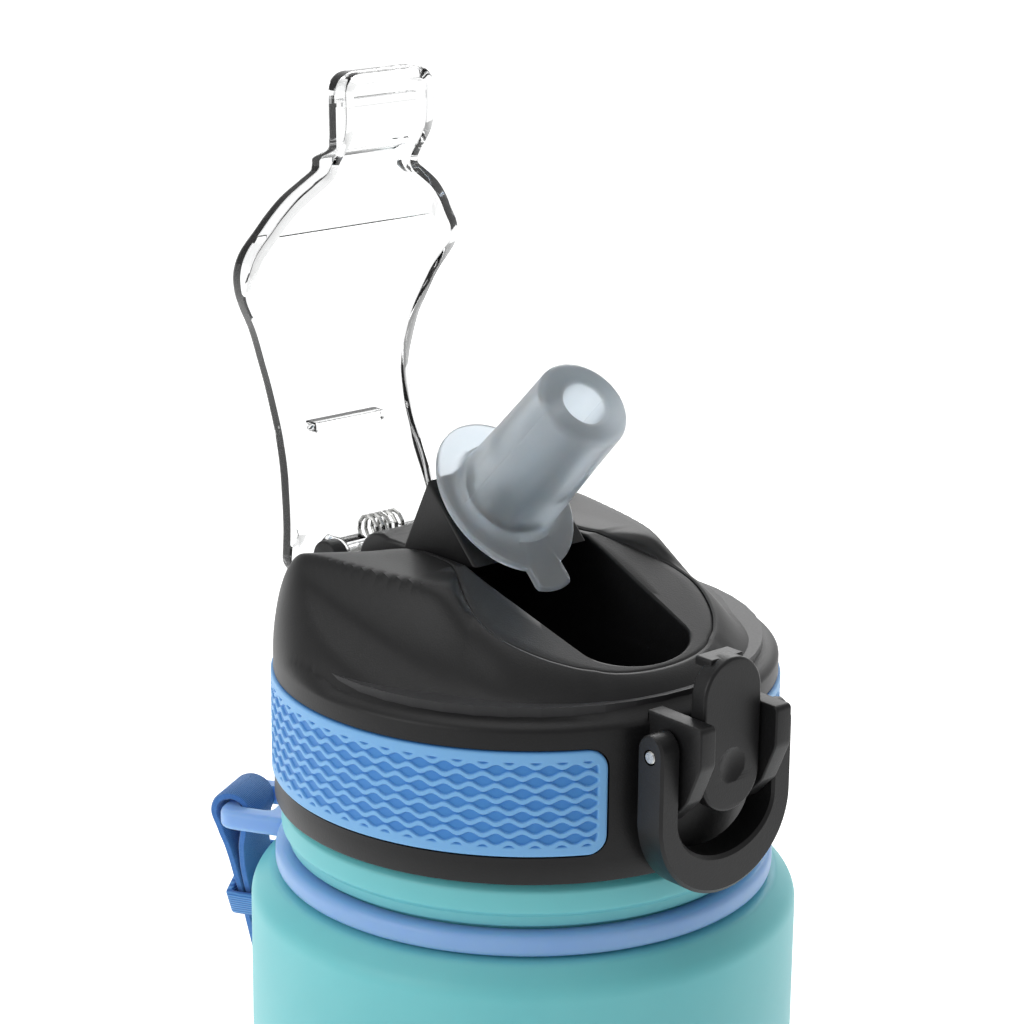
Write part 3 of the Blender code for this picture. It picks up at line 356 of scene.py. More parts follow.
def rod(name, radius, start, end, edge=0.0, sides=48):
    """A round bar between two points in mm, with its ends chamfered."""
    start, end = Vector(start), Vector(end)
    along = end - start
    length = along.length
    profile = [(0, 0), (radius - edge, 0), (radius, edge), (radius, length - edge), (radius - edge, length), (0, length)]
    turn = Vector((0, 0, 1)).rotation_difference(along).to_matrix()
    rows = []
    for i in range(sides):
        angle = 2 * math.pi * i / sides
        rows.append([start + turn @ Vector((r * math.cos(angle), r * math.sin(angle), h)) for r, h in profile])
    return piece(name, *skin(rows))


def box(name, low, high):
    low, high = Vector(low), Vector(high)
    points = [(x, y, z) for x in (low.x, high.x) for y in (low.y, high.y) for z in (low.z, high.z)]
    faces = [(0, 1, 3, 2), (4, 6, 7, 5), (0, 4, 5, 1), (2, 3, 7, 6), (0, 2, 6, 4), (1, 5, 7, 3)]
    return piece(name, points, faces)


def combine(obj, other, operation, solver="MANIFOLD"):
    """Adds, cuts or keeps the shared volume of another object, which is then removed."""
    modifier = obj.modifiers.new("shape", "BOOLEAN")
    modifier.operation, modifier.solver, modifier.object = operation, solver, other
    bpy.context.view_layer.update()
    made = bpy.data.meshes.new_from_object(obj.evaluated_get(bpy.context.evaluated_depsgraph_get()))
    if not made.polygons:
        raise ValueError(f"{obj.name}: nothing was left after {other.name}")
    obj.modifiers.clear()
    obj.data = made
    bpy.data.objects.remove(other)
    return tidy(obj)


def even(obj):
    """Lets the large faces set the shading beside a cut, so that flat stays flat."""
    obj.modifiers.new("evened", "WEIGHTED_NORMAL").keep_sharp = True
    return obj


def dress(obj, body, finish, slot, *nodes):
    """Gives a piece its finish, and lets it stand for its frame nodes and ride with their body."""
    obj.data.materials.clear()
    obj.data.materials.append(finish.material)
    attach(obj, body)
    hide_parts(*nodes)
    print(obj.name, "stands for", ", ".join(nodes), "with", len(obj.data.polygons), "faces")
    return obj


print("shape helpers ready")

# %% [markdown]
# ## Bottle
# The body is blown from a tinted, clear plastic and then frosted outside, so light goes a little way into the
# wall and comes out soft. A turned profile with generous roundings gives the straight wall, the tight shoulder
# and the stepped neck. Subsurface scattering gives the glow, and a very fine bump gives the frost.

# %% Bottle
BODY_RADIUS, BODY_WALL, BASE = 39.0, 2.0, -1000 * RIM
NECK_BORE = 28.6


def bottle_profile():
    outside = [(NECK_BORE, 17.5), (30.4, 17.5), (30.4, 0.9), (32.4, 0.2), (34.5, -1.4), (34.6, -4.4), (33.8, -5.0),
               (33.6, -6.6), (32.2, -7.0), (32.2, -10.7), (34.4, -10.75), (36.2, -11.0), (39.0, -14.0), (39.0, -24.0),
               (39.0, BASE + 9), (39.0, BASE + 1.2), (34.0, BASE), (0, BASE)]
    radii = [0.4, 0.4, 0.4, 0.7, 0.9, 0.6, 0.4, 0.3, 0.3, 0.5, 1.5, 3.6, 5.0, 3.0, 3.6, 2.0]
    inside = [(0, BASE + 2), (33.5, BASE + 2), (37, BASE + 7), (37, -20), (32, -11.5), (NECK_BORE, -8), (NECK_BORE, 17.5)]
    return rounded(inside, [2, 3, 5, 4, 1]) [:-1] + rounded(outside, radii, 8)


def frosted_plastic():
    frost = Finish("frosted_turquoise", srgb(112, 204, 214), Roughness=0.42, Subsurface_Weight=0.35,
                   Subsurface_Radius=(0.004, 0.008, 0.008), Subsurface_Scale=1.0, IOR=1.5)
    cloud = frost.noise(60, 3)
    grain = frost.noise(5200, 2)
    frost.use(Base_Color=frost.mix(cloud, srgb(108, 198, 205), srgb(124, 209, 213)))
    frost.use(Roughness=0.40 + grain * 0.12, Normal=frost.bump(grain, 0.00002, 0.6))
    return frost


def make_bottle():
    body = turned("bottle", bottle_profile())
    turns, rows = np.linspace(0, 1.5, 217), []
    for turn in turns:
        angle, middle, fade = 2 * math.pi * turn, 5.5 + 4 * turn, min(1, 12 * turn, 12 * (1.5 - turn)) 
        depth = 30.4 - 0.4 + 1.7 * max(fade, 0.05)
        section = [(30.0, 1.0), (depth, 0.55), (depth, -0.55), (30.0, -1.0)]
        rows.append([(r * math.cos(angle), r * math.sin(angle), middle + h) for r, h in section])
    points, faces = skin(rows, wrap_rows=False, wrap_points=True)
    thread = piece("thread", points, faces + [(0, 1, 2, 3), (864, 865, 866, 867)])
    combine(body, thread, "UNION")
    return dress(body, "bottle", frosted_plastic(), "bottle_plastic", "bottle_body")


bottle = make_bottle()

# %% [markdown]
# ## Carry ring
# A flat ring of semi-clear blue plastic lies loose in the groove under the neck bead, and its lug holds the
# wrist strap. Ring and lug are one moulding, so a turned band and a rounded plate are joined and the slot is
# cut through the plate.

# %% Carry ring
LUG_TURN = Matrix.Rotation(math.radians(120), 4, "Z")
RING_TOP, RING_LOW = -7.3, -10.4


def ring_plastic():
    blue = Finish("light_blue_plastic", srgb(140, 180, 238), Roughness=0.4, Subsurface_Weight=0.5,
                  Subsurface_Radius=(0.002, 0.003, 0.006), Subsurface_Scale=1.0)
    haze = blue.noise(90, 3)
    blue.use(Base_Color=blue.mix(haze, srgb(132, 174, 236), srgb(150, 188, 242)))
    blue.use(Roughness=0.34 + haze * 0.14)
    return blue


def make_ring():
    band = rounded([(32.5, -8.8), (32.5, RING_TOP), (35.5, RING_TOP), (35.5, RING_LOW), (32.5, RING_LOW), (32.5, -8.85)],
                   [0.3, 1.1, 1.1, 0.3], 6)
    ring = turned("ring", band, closed=True)
    outline = rounded([(34.1, 0), (34.1, -7.2), (45.2, -7.2), (45.2, 7.2), (34.1, 7.2), (34.1, 0.1)], [1.4, 3, 3, 1.4])
    middle = (0, 0, (RING_TOP + RING_LOW) / 2)
    lug = plate("lug", [outline], 2.9, 0.8, place=middle, turn=LUG_TURN)
    slot = rounded([(37.3, 0), (37.3, -4.6), (42.8, -4.6), (42.8, 4.6), (37.3, 4.6), (37.3, 0.1)], 1.2)
    hole = plate("slot", [slot], 9, 0.2, place=middle, turn=LUG_TURN)
    combine(ring, lug, "UNION", "EXACT")
    combine(ring, hole, "DIFFERENCE", "EXACT")
    return dress(ring, "ring", ring_plastic(), "ring_plastic", "carry_ring")


ring = make_ring()

# %% [markdown]
# ## Wrist strap
# The strap is a flat woven tape that passes through the lug, closes under a stitched band and hangs down the
# back. A net swept along its route holds the thickness, and the weave is a bump made from two crossed waves
# measured along and across the tape, which is why the tape carries a flat map of itself.

# %% Wrist strap
STRAP_WIDTH, STRAP_THICKNESS = 8.6, 1.2
STRAP_KNOTS = (
    (44.0, 0, -6.15), (45.944, 0, -6.906), (46.7, 0, -8.85), (45.944, -0.3, -11.394), (45.2, -1.3, -14.5),
    (44.75, -3, -19), (44.75, -6.5, -26), (45.6, -14, -42), (45.8, -20, -70), (46.0, -20, -110), (45.6, -20, -142),
    (43.6, -20, -150), (41.6, -20, -142), (41.2, -20, -110), (41.2, -20, -70), (41.7, -14, -42), (43.25, -6.5, -26),
    (43.25, -3, -19), (42.8, -1.3, -14.5), (42.056, -0.3, -11.394), (41.3, 0, -8.85), (42.056, 0, -6.906),
)


def smooth_loop(knots, steps):
    """A closed curve through the knots."""
    knots, line = [Vector(knot) for knot in knots], []
    for i in range(len(knots)):
        a, b, c, d = (knots[(i + k) % len(knots)] for k in (-1, 0, 1, 2))
        for t in np.linspace(0, 1, steps, endpoint=False):
            line.append(0.5 * (2 * b + (c - a) * t + (2 * a - 5 * b + 4 * c - d) * t**2 + (3 * b - a - 3 * c + d) * t**3))
    return line


def woven_tape():
    tape = Finish("woven_tape", srgb(74, 140, 214), Roughness=0.85, Sheen_Weight=0.35, Sheen_Roughness=0.4)
    flat = tape.node("ShaderNodeUVMap")
    along = tape.node("ShaderNodeTexWave", {"bands_direction": "X"}, {"Vector": flat, "Scale": 1.6, "Distortion": 0.6})
    across = tape.node("ShaderNodeTexWave", {"bands_direction": "Y"}, {"Vector": flat, "Scale": 2.2, "Distortion": 0.6})
    fluff = tape.noise(2500, 3)
    weave = along * across + fluff * 0.35
    tape.use(Base_Color=tape.mix(weave, srgb(44, 100, 178), srgb(112, 172, 232)))
    tape.use(Normal=tape.bump(weave, 0.00012, 0.9))
    return tape


def make_strap():
    line = smooth_loop(STRAP_KNOTS, 12)
    sections, lengths = [], [0.0]
    edge = [(-1, -0.6), (-0.93, -1), (0, -1), (0.93, -1), (1, -0.6), (1, 0.6), (0.93, 1), (0, 1), (-0.93, 1), (-1, 0.6)]
    for i, point in enumerate(line):
        ahead = (line[(i + 1) % len(line)] - line[i - 1]).normalized()
        side = (Vector((0, 1, 0)) - ahead * ahead.y).normalized()
        out = side.cross(ahead).normalized()
        section = [point + side * (a * STRAP_WIDTH / 2) + out * (b * STRAP_THICKNESS / 2) for a, b in edge]
        sections.append([LUG_TURN @ corner for corner in section])
        lengths.append(lengths[-1] + (line[(i + 1) % len(line)] - point).length)
    strap = piece("strap", *skin(sections, wrap_points=True), sharp=50)
    layer, width = strap.data.uv_layers.new(name="tape"), len(edge)
    for loop in strap.data.loops:
        row, column = divmod(loop.vertex_index, width)
        layer.data[loop.index].uv = (lengths[row], edge[column][0] * STRAP_WIDTH / 2)
    return dress(strap, "strap", woven_tape(), "strap_webbing", "wrist_strap"), round(lengths[-1])


strap, strap_length = make_strap()
print("tape length in mm:", strap_length)

# %% [markdown]
# The band that closes the loop is the same tape folded round both layers and sewn across. A rounded tube of
# rectangular section is enough for it, with two rows of raised stitches on its face.

# %% Stitched band


def make_band():
    tilt = Matrix.Rotation(-math.atan2(3.5, 7), 4, "X")
    turn = LUG_TURN @ Matrix.Translation((44.0, -4.75, -22.5)) @ tilt
    outer = rounded([(-2.6, 0), (-2.6, -5.8), (2.6, -5.8), (2.6, 5.8), (-2.6, 5.8), (-2.6, 0.1)], 0.9)
    inner = rounded([(-1.7, 0), (-1.7, -4.9), (1.7, -4.9), (1.7, 4.9), (-1.7, 4.9), (-1.7, 0.1)], 0.3)
    band = plate("strap_band", [outer, inner], 4.5, 0.3, turn=turn)
    stitches = [rod("stitch", 0.22, turn @ Vector((2.62, across - 0.5, high)), turn @ Vector((2.62, across + 0.5, high)), 0.1, 12)
                for high in (-1.2, 1.2) for across in np.arange(-4, 4.1, 1.6)]
    with bpy.context.temp_override(active_object=band, object=band, selected_objects=[band, *stitches],
                                   selected_editable_objects=[band, *stitches]):
        bpy.ops.object.join()
    tape = Finish("sewn_tape", srgb(70, 134, 208), Roughness=0.85, Sheen_Weight=0.3)
    threads = tape.node("ShaderNodeTexWave", {"bands_direction": "Z"}, {"Vector": tape.place, "Scale": 700, "Distortion": 1})
    tape.use(Base_Color=tape.mix(threads, srgb(50, 108, 184), srgb(104, 164, 226)), Normal=tape.bump(threads, 0.0001, 0.8))
    return dress(band, "strap", tape, "strap_webbing", "strap_clip")


band = make_band()

# %% [markdown]
# ## Cap
# The cap is one black moulding. Its top is the hardest surface of the bottle: a level plateau at the back, a
# soft scoop on each side that runs down to the front shoulder, and a sloping seat with a crease round it on
# which the clear cover closes. All of these are heights over a plan, so the top is written as one function of
# direction and distance from the axis, and the skin is made by sampling that function more densely where it
# bends.

# %% Outlines and heights of the cap's top
CAP_RADIUS, CAP_TOP, SHOULDER = 35.5, 35.5, 21.4
TROUGH = ((-26, 8.9), (-19, 9.6), (-11, 10.3), (-2, 11.0), (27, 11.0))
CREASE = ((-26, 11.2), (-22, 15.0), (-18, 17.3), (-14.5, 18.3), (-10.5, 18.0), (-6, 16.4), (-1.4, 13.9), (1.6, 12.6), (6, 12.1), (27, 12.1))
RIDGE = ((0, -6), (18, -5.5), (20.5, -3.5), (22.5, 3), (24.4, 13), (26.6, 26), (30, 33), (35.5, 37))


def through(stations, x):
    """A smooth curve through (x, value) stations."""
    xs, values = zip(*stations)
    x = min(max(x, xs[0]), xs[-1])
    last = len(xs) - 1
    slopes = [(values[min(i + 1, last)] - values[max(i - 1, 0)]) / (xs[min(i + 1, last)] - xs[max(i - 1, 0)]) for i in range(last + 1)]
    i = min(max(int(np.searchsorted(xs, x, side="right")) - 1, 0), last - 1)
    span = xs[i + 1] - xs[i]
    t = (x - xs[i]) / span
    bend = (t**3 - 2 * t**2 + t) * span * slopes[i] + (t**3 - t**2) * span * slopes[i + 1]
    return (2 * t**3 - 3 * t**2 + 1) * values[i] + (3 * t**2 - 2 * t**3) * values[i + 1] + bend


def nosed(stations, front, nose, back=27.0, tail=0.8):
    """Half width along y of an outline through stations, closed by a rounded nose and tail."""

    def half_width(y):
        if not front < y < back:
            return 0.0
        ends = 1.0
        for into, length in ((y - front, nose), (back - y, tail)):
            if into < length:
                ends *= math.sqrt(max(0.0, 1 - (1 - into / length) ** 2))
        return through(stations, y) * ends

    return half_width


trough_width, crease_width = nosed(TROUGH, -27.6, 5.5, 26.5), nosed(CREASE, -28.9, 4.5, 28.6, 1.5)


def reach(half_width, across, along):
    """Distance from the axis to an outline in a direction."""
    near, far = 0.0, CAP_RADIUS
    for _ in range(26):
        middle = (near + far) / 2
        inside = abs(across * middle) < half_width(along * middle)
        near, far = (middle, far) if inside else (near, middle)
    return near


def back_drop(x, y):
    """How far the top has fallen behind its crest, towards the hinge."""
    behind = y - 8.9 - 0.65 * max(0.0, abs(x) - 10)
    return 0.33 * 1.2 * math.log(1 + math.exp(behind / 1.2)) if behind < 30 else 0.33 * behind


def seat_height(x, y):
    return CAP_TOP + 0.322 * min(y, 0.0) - back_drop(x, y)


def scoop_height(x, y):
    """Plateau and scoops, without the seat and without the rounded outer edge."""
    front = -math.sqrt(max(0.0, 33.5**2 - x * x))
    rise = (y - front) / (through(RIDGE, abs(x)) - front)
    slope = 12.5 * min(max(rise, 0.0), 1.3) ** 1.15
    soft = 0.55
    return 23.0 - back_drop(x, y) - soft * math.log(math.exp(-slope / soft) + math.exp(-12.5 / soft))


def smooth(t):
    t = min(max(t, 0.0), 1.0)
    return t * t * (3 - 2 * t)


def top_height(across, along, crease, distance):
    """Height of the cap's top in a direction, at a distance from the axis."""
    x, y = across * distance, along * distance
    beyond = distance - crease
    groove = 0.22 * math.exp(-((beyond / 0.28) ** 2))
    if beyond <= 0:
        return seat_height(x, y) - groove
    x_crease, y_crease = across * crease, along * crease
    level = scoop_height(x, y)
    step = scoop_height(x_crease, y_crease) - seat_height(x_crease, y_crease) - 0.25
    if step > 0:
        level -= step * max(0.0, 1 - beyond / 2.6) ** 2
    else:
        level -= step * (1 - smooth((beyond - 0.4) / 6.2))
    edge = min(max(0.0, (distance - CAP_RADIUS + 4.5) / 4.5), 1.0)
    return SHOULDER + (level - SHOULDER) * math.sqrt(1 - edge * edge) - groove * (1 - edge)


def top_at(x, y):
    distance = math.hypot(x, y)
    across, along = x / distance, y / distance
    return top_height(across, along, max(reach(crease_width, across, along), reach(trough_width, across, along) + 1), distance)


print("top at the seat's front, the middle of a scoop and the back:", [round(top_at(*p), 1) for p in ((0.1, -28), (-24, -14), (-20, 20))])

# %% [markdown]
# The skin runs, in each direction, from the middle of the trough floor, up the trough wall, over its rounded
# lip, across the seat and the dome, down the skirt and back up inside. Real joins are rounded, so every edge
# gets its own small radius in the samples.

# %% Cap skin
TROUGH_FLOOR, SHELF, CEILING = 7.0, 22.5, 20.9


def cap_section(angle):
    across, along = math.cos(angle), math.sin(angle)
    trough = reach(trough_width, across, along)
    crease = max(reach(crease_width, across, along), trough + 1.0)
    lower = min(trough - 0.3, 26.7)
    lip = 0.45
    line = [(0, TROUGH_FLOOR), (lower - 1.5, TROUGH_FLOOR), (lower - 0.5, TROUGH_FLOOR + 0.35), (lower - 0.15, TROUGH_FLOOR + 1.3),
            (lower, SHELF - 0.6), (lower + (trough - lower) * 0.6, SHELF + 0.3), (trough - 0.02, SHELF + 1.6)]
    top = top_height(across, along, crease, trough + lip)
    line += [(trough, top - lip - (top - lip - SHELF - 1.6) * k) for k in (0.5, 0.1)]
    line += [(trough + lip - lip * math.cos(t), top - lip + lip * math.sin(t)) for t in np.linspace(0, math.pi / 2, 6)]
    distances = list(np.linspace(trough + lip, crease - 0.5, 6)[1:]) + [crease + k for k in (-0.35, -0.2, -0.08, 0.02, 0.12, 0.25, 0.4, 0.6)]
    edge_start = CAP_RADIUS - 4.5
    if edge_start > crease + 1.0:
        distances += list(crease + 0.6 + (edge_start - crease - 0.6) * np.linspace(0, 1, 22)[1:])
    else:
        edge_start = crease + 0.6
        distances += [edge_start] * 21
    distances += [edge_start + (CAP_RADIUS - edge_start) * math.sin(t) for t in np.linspace(0, math.pi / 2, 16)[1:]]
    line += [(d, top_height(across, along, crease, d)) for d in distances]
    inner = CAP_RADIUS - 2
    line += [(CAP_RADIUS, z) for z in (19.5, 12, 3, 0.5)] + [(CAP_RADIUS - 0.15, 0.15), (CAP_RADIUS - 0.5, 0), (inner, 0), (inner, CEILING)]
    line += [(lower + 1.7, CEILING), (lower + 1.3, TROUGH_FLOOR - 1.6), (0, TROUGH_FLOOR - 1.6)]
    return [(across * d, along * d, z) for d, z in line]


def cap_skin(steps=432):
    rows = [cap_section(2 * math.pi * (i + 0.5) / steps) for i in range(steps)]
    return piece("cap", *skin(rows), sharp=40)


cap = cap_skin()
print("cap skin:", len(cap.data.polygons), "faces")

# %% [markdown]
# The latch stands between two ears at the front, and the cover's hinge in a notch at the back. Panel recesses,
# ears, lugs and pin holes are joined and cut with Booleans, which keeps each of them a simple shape.

# %% Cap details
PANEL_LOW, PANEL_HIGH, PANEL_FACE, PANEL_CORNER = 4.2, 18.9, 35.85, 2.75
PANEL_SWEEP = math.radians(67)  # half of the angle that a grip panel covers
HINGE, LATCH, PIVOT = Vector((0, 32.8, 27.7)), Vector((0, -38.5, 18.9)), Vector((0, 20, 30))
ACROSS = Vector((1, 0, 0))


def panel_net(side, grow, depth, face, columns=241, lines=109):
    """Rows of points over one grip panel's outline, and how far each is inside its border."""
    height, middle = (PANEL_HIGH - PANEL_LOW) / 2 + grow, (PANEL_HIGH + PANEL_LOW) / 2
    corner, half_length = PANEL_CORNER + grow, PANEL_SWEEP * CAP_RADIUS + grow
    ease = np.linspace(-1, 1, lines)
    rows = []
    for v in np.sin(ease * math.pi / 2) * 0.25 + ease * 0.75:
        z, over = v * height, max(0.0, abs(v) * height - height + corner)
        half = half_length - corner + math.sqrt(max(0.0, corner**2 - over**2))
        row = []
        for u in np.linspace(-1, 1, columns):
            along = u * half
            inside_z, inside_s = height - abs(z), half_length - abs(along)
            if inside_z < corner and inside_s < corner:
                inside = corner - math.hypot(corner - inside_z, corner - inside_s)
            else:
                inside = min(inside_z, inside_s)
            angle = math.pi / 2 + side * -math.pi / 2 + along / CAP_RADIUS
            radius = face(along, z, max(inside, 0.0)) if face else depth
            row.append((radius * math.cos(angle), radius * math.sin(angle), middle + z))
        rows.append(row)
    return np.array(rows)


def panel_solid(name, side, grow, inner, face, columns, lines):
    """A closed body between the panel's face and a plain inner cylinder."""
    front = panel_net(side, grow, 0, face, columns, lines)
    back = panel_net(side, grow, inner, None, columns, lines)
    points, faces = skin(front, wrap_rows=False)
    more, back_faces = skin(back, wrap_rows=False)
    offset, count = len(points), front.shape[1]
    faces += [tuple(offset + i for i in reversed(face_)) for face_ in back_faces]
    rim = list(range(count)) + [count * r + count - 1 for r in range(1, lines)]
    rim += list(range(count * lines - 2, count * (lines - 1) - 1, -1)) + [count * r for r in range(lines - 2, 0, -1)]
    faces += [(a, b, b + offset, a + offset) for a, b in zip(rim, rim[1:] + rim[:1])]
    return piece(name, np.vstack([points, more]), faces)


def make_cap(shell):
    for side in (-1, 1):
        recess = panel_solid("recess", side, 0.22, PANEL_FACE - 1.5, lambda *_: PANEL_FACE + 2, 81, 33)
        combine(shell, recess, "DIFFERENCE")
    combine(shell, box("notch", (-15.4, 29.4, 22.9), (15.4, 45, 60)), "DIFFERENCE")
    lug = [(HINGE.y - 3, 22.2), (HINGE.y + 1.4, 22.2)] + circle((HINGE.y, HINGE.z), 3, -20, 180, 20)
    ear = rounded([(-34, 12), (-34, 23.4), (-44.2, 23.4), (-44.2, 17.9), (-41.8, 12.4), (-38.2, 8.7), (-34, 7.9), (-34, 11.9)],
                  [0.1, 0.8, 3, 3, 2, 0.1])
    for side in (-1, 1):
        combine(shell, plate("lug", [lug], 2.4, 0.25, "YZ", (side * 9.2, 0, 0)), "UNION")
        combine(shell, plate("ear", [ear], 2.8, 0.3, "YZ", (side * 6.9, 0, 0)), "UNION")
    for place, radius, half in ((HINGE, 1.1, 14), (PIVOT, 1.35, 13.5), (LATCH, 1.05, 9)):
        combine(shell, rod("hole", radius, place - ACROSS * half, place + ACROSS * half), "DIFFERENCE")
    return shell


make_cap(cap)

# %% [markdown]
# The black plastic is satin: spark-eroded tool steel leaves a fine, even grain, and handling polishes it a
# little in broad patches. The grain goes into the bump and the patches into the roughness.

# %% Satin black plastic


def satin_black(name, shade, rough):
    satin = Finish(name, shade, Specular_IOR_Level=0.36)
    grain, patches, dust = satin.noise(3800, 2), satin.noise(45, 3), satin.noise(420, 6)
    satin.use(Roughness=rough + patches * 0.10 + grain * 0.06, Normal=satin.bump(grain, 0.00004, 0.55))
    lighter = tuple(channel * 1.6 for channel in shade)
    return satin.use(Base_Color=satin.mix(dust**3.0, shade, lighter))


cap_black = satin_black("satin_black", (0.008, 0.008, 0.0085), 0.34)
dress(cap, "cap", cap_black, "cap_plastic", "cap_shell")

# %% [markdown]
# ## Grip panels
# Two soft blue panels are set into the skirt. Each has a plain border and eight rows of raised waves, and
# every second row is shifted by half a wave, so that the waves pinch and open like a chain of lenses. The
# relief is real geometry here, because it shows against the light at the panel's edge.

# %% Grip panels
WAVE_ROWS, WAVE_STEP, WAVE_LENGTH, WAVE_SWING = 8, 1.61, 3.45, 0.32


def panel_relief(along, z, inside):
    """Radius of the panel's face: a rounded rim, a border, and waves in the field inside it."""
    rim = 0.4 * (1 - math.sqrt(max(0.0, 1 - (1 - min(inside / 0.4, 1)) ** 2)))
    field = smooth((inside - 1.25) / 0.35)
    height = 0.0
    for row in range(WAVE_ROWS):
        swing = WAVE_SWING * (-1) ** row * math.sin(2 * math.pi * along / WAVE_LENGTH)
        off = z - ((row - (WAVE_ROWS - 1) / 2) * WAVE_STEP + swing)
        height = max(height, 1 - smooth((abs(off) - 0.27) / 0.2))
    return PANEL_FACE - rim - field * 0.34 * (1 - height)


def grip_silicone():
    """Blue silicone, with painted light: it is painted paler where it stands proud and darker in the pockets between
    the waves.
    """
    grip = Finish("grip_silicone", srgb(84, 156, 228), Roughness=0.5, Subsurface_Weight=0.2,
                  Subsurface_Radius=(0.0004, 0.0007, 0.0012), Subsurface_Scale=1.0, Sheen_Weight=0.12)
    matt, cloud = grip.noise(4200, 2), grip.noise(70, 3)
    relief = grip.node("ShaderNodeAttribute", {"attribute_name": "relief"}, {}, "Fac")
    ground = grip.mix(cloud, srgb(58, 132, 206), srgb(66, 144, 214))
    # Painted highlight on the raised waves and painted shade in the pockets, set by each point's height.
    grip.use(Base_Color=grip.mix(relief, ground, srgb(122, 182, 234)))
    return grip.use(Roughness=0.42 + matt * 0.16, Normal=grip.bump(matt, 0.00002, 0.5))


def mark_relief(panel):
    """Keeps each point's height on the panel, which the finish uses to paint light on the ridges."""
    proud = [math.hypot(v.co.x, v.co.y) * 1000 for v in panel.data.vertices]
    marks = panel.data.attributes.new("relief", "FLOAT", "POINT")
    marks.data.foreach_set("value", [smooth((r - PANEL_FACE + 0.34) / 0.34) for r in proud])


grip_blue = grip_silicone()
for side, word in ((-1, "left"), (1, "right")):
    panel = panel_solid(f"grip_{word}", side, 0.0, PANEL_FACE - 1.2, panel_relief, 641, 121)
    mark_relief(panel)
    dress(panel, "cap", grip_blue, "grip_silicone", f"grip_panel_{word}")

# %% [markdown]
# ## Clear cover
# The cover is a moulded tray of clear plastic, modelled closed over its seat and then turned open about its
# hinge, so the same shape fits both ways. Its skin follows the outline inwards: up the outer wall, over the
# rounded edge to the middle, and back inside at a steady wall thickness. Real thickness matters here, because
# the bright and dark lines of a clear part are its wall seen edge on.

# %% Cover outline
COVER_HALF = ((-38.2, 8.0), (-24.8, 8.0), (-23.8, 8.3), (-22.6, 9.9), (-20.5, 12.7), (-18, 15.0), (-16, 16.4), (-13, 18.4), (-10, 19.0),
              (-7, 18.4), (-4, 17.0), (-0.5, 15.0), (3, 13.6), (8, 12.3), (13, 11.9), (18, 12.1), (24, 12.9), (32.8, 13.8))
COVER_CROWN = ((-24, 33.2), (-20.5, 34.4), (-16.4, 35.6), (-10, 37.6), (-4, 39.2), (3, 40.4), (9, 40.0), (16, 38.0), (22.6, 35.9), (29, 34.7), (35.8, 34.5))
COVER_BACK, COVER_TIP, COVER_WALL, COVER_EDGE = 35.8, -38.2, 1.6, 1.4


def cover_outline():
    """Half of the plan outline, from the hinge side to the tip, and evenly spaced."""
    back, tip = 3.0, 2.8
    side = [(through(COVER_HALF, y), y) for y in np.linspace(COVER_BACK - back, COVER_TIP + tip, 200)]
    line = [(0, COVER_BACK)] + circle((side[0][0] - back, COVER_BACK - back), back, 90, 0, 24) + side[1:-1]
    line += circle((side[-1][0] - tip, COVER_TIP + tip), tip, 0, -90, 24) + [(0, COVER_TIP)]
    line = [Vector(point) for point in line]
    lengths = np.concatenate([[0], np.cumsum([(b - a).length for a, b in zip(line, line[1:])])])
    even = np.linspace(0, lengths[-1], 320)
    return np.stack([np.interp(even, lengths, [p[k] for p in line]) for k in (0, 1)], 1)


def inward(line):
    """Unit normals of the outline, pointing to its inside."""
    along = np.gradient(line, axis=0)
    normals = np.stack([along[:, 1], -along[:, 0]], 1)
    normals /= np.linalg.norm(normals, axis=1)[:, None]
    normals[0], normals[-1] = (0, -1), (0, 1)
    return normals


def cover_top(y):
    """Outer face of the closed cover: crowned, with the neck a step lower."""
    body = through(COVER_CROWN, y)
    return body + (29.2 - body) * smooth((-25.2 - y) / 2.4)


def cover_under(x, y):
    """Lower edge of the closed cover's wall, resting just over the cap."""
    if y > 29.7:
        return 31.3
    if y < -22.6:
        return through(((-38.2, 24.1), (-31, 24.1), (-28.5, 24.9), (-25, 27.7), (-22.6, 28.7)), y)
    return top_at(x, y) + 0.35


# %% Cover skin


def cover_skin():
    half = cover_outline()
    normal = inward(half)
    under = np.array([cover_under(*p) for p in half])
    under = np.convolve(np.pad(under, 3, mode="edge"), np.ones(7) / 7, mode="valid")
    low_y, high_y = COVER_TIP + 5, COVER_BACK - 6
    spine = np.stack([np.zeros(len(half)), np.clip(half[:, 1], low_y, high_y)], 1)
    rings = []

    def ring(inset, lift, share=0.0, from_top=True):
        flat = half + normal * inset
        flat = flat + (spine - flat) * share
        flat[[0, -1], 0] = 0
        height = np.array([cover_top(y) for y in flat[:, 1]]) - lift if from_top else under + lift
        rings.append(np.column_stack([flat, height]))

    for share in (1.0, 0.75, 0.5, 0.3, 0.15, 0.06, 0.02):
        ring(COVER_EDGE, 0, share)
    for t in np.linspace(0, math.pi / 2, 8):
        ring(COVER_EDGE * (1 - math.sin(t)), COVER_EDGE * (1 - math.cos(t)))
    for inset, lift in ((0, 0.8), (0, 0.35), (0.12, 0.1), (0.4, 0), (1.2, 0), (1.48, 0.1), (1.6, 0.35), (1.6, 0.8)):
        ring(inset, lift, from_top=False)
    for t in np.linspace(0, math.pi / 2, 6):
        ring(COVER_WALL + 0.4 * (1 - math.cos(t)), COVER_WALL + 0.4 * (1 - math.sin(t)))
    for share in (0.05, 0.15, 0.3, 0.5, 0.75, 1.0):
        ring(COVER_WALL + 0.4, COVER_WALL, share)
    rings = np.array(rings)
    mirrored = rings[:, ::-1] * (-1, 1, 1)
    whole = np.concatenate([rings, mirrored[:, 1:-1]], axis=1)
    return piece("cover", *skin(whole, wrap_rows=False, wrap_points=True), sharp=35)


cover = cover_skin()
print("cover skin:", len(cover.data.polygons), "faces")

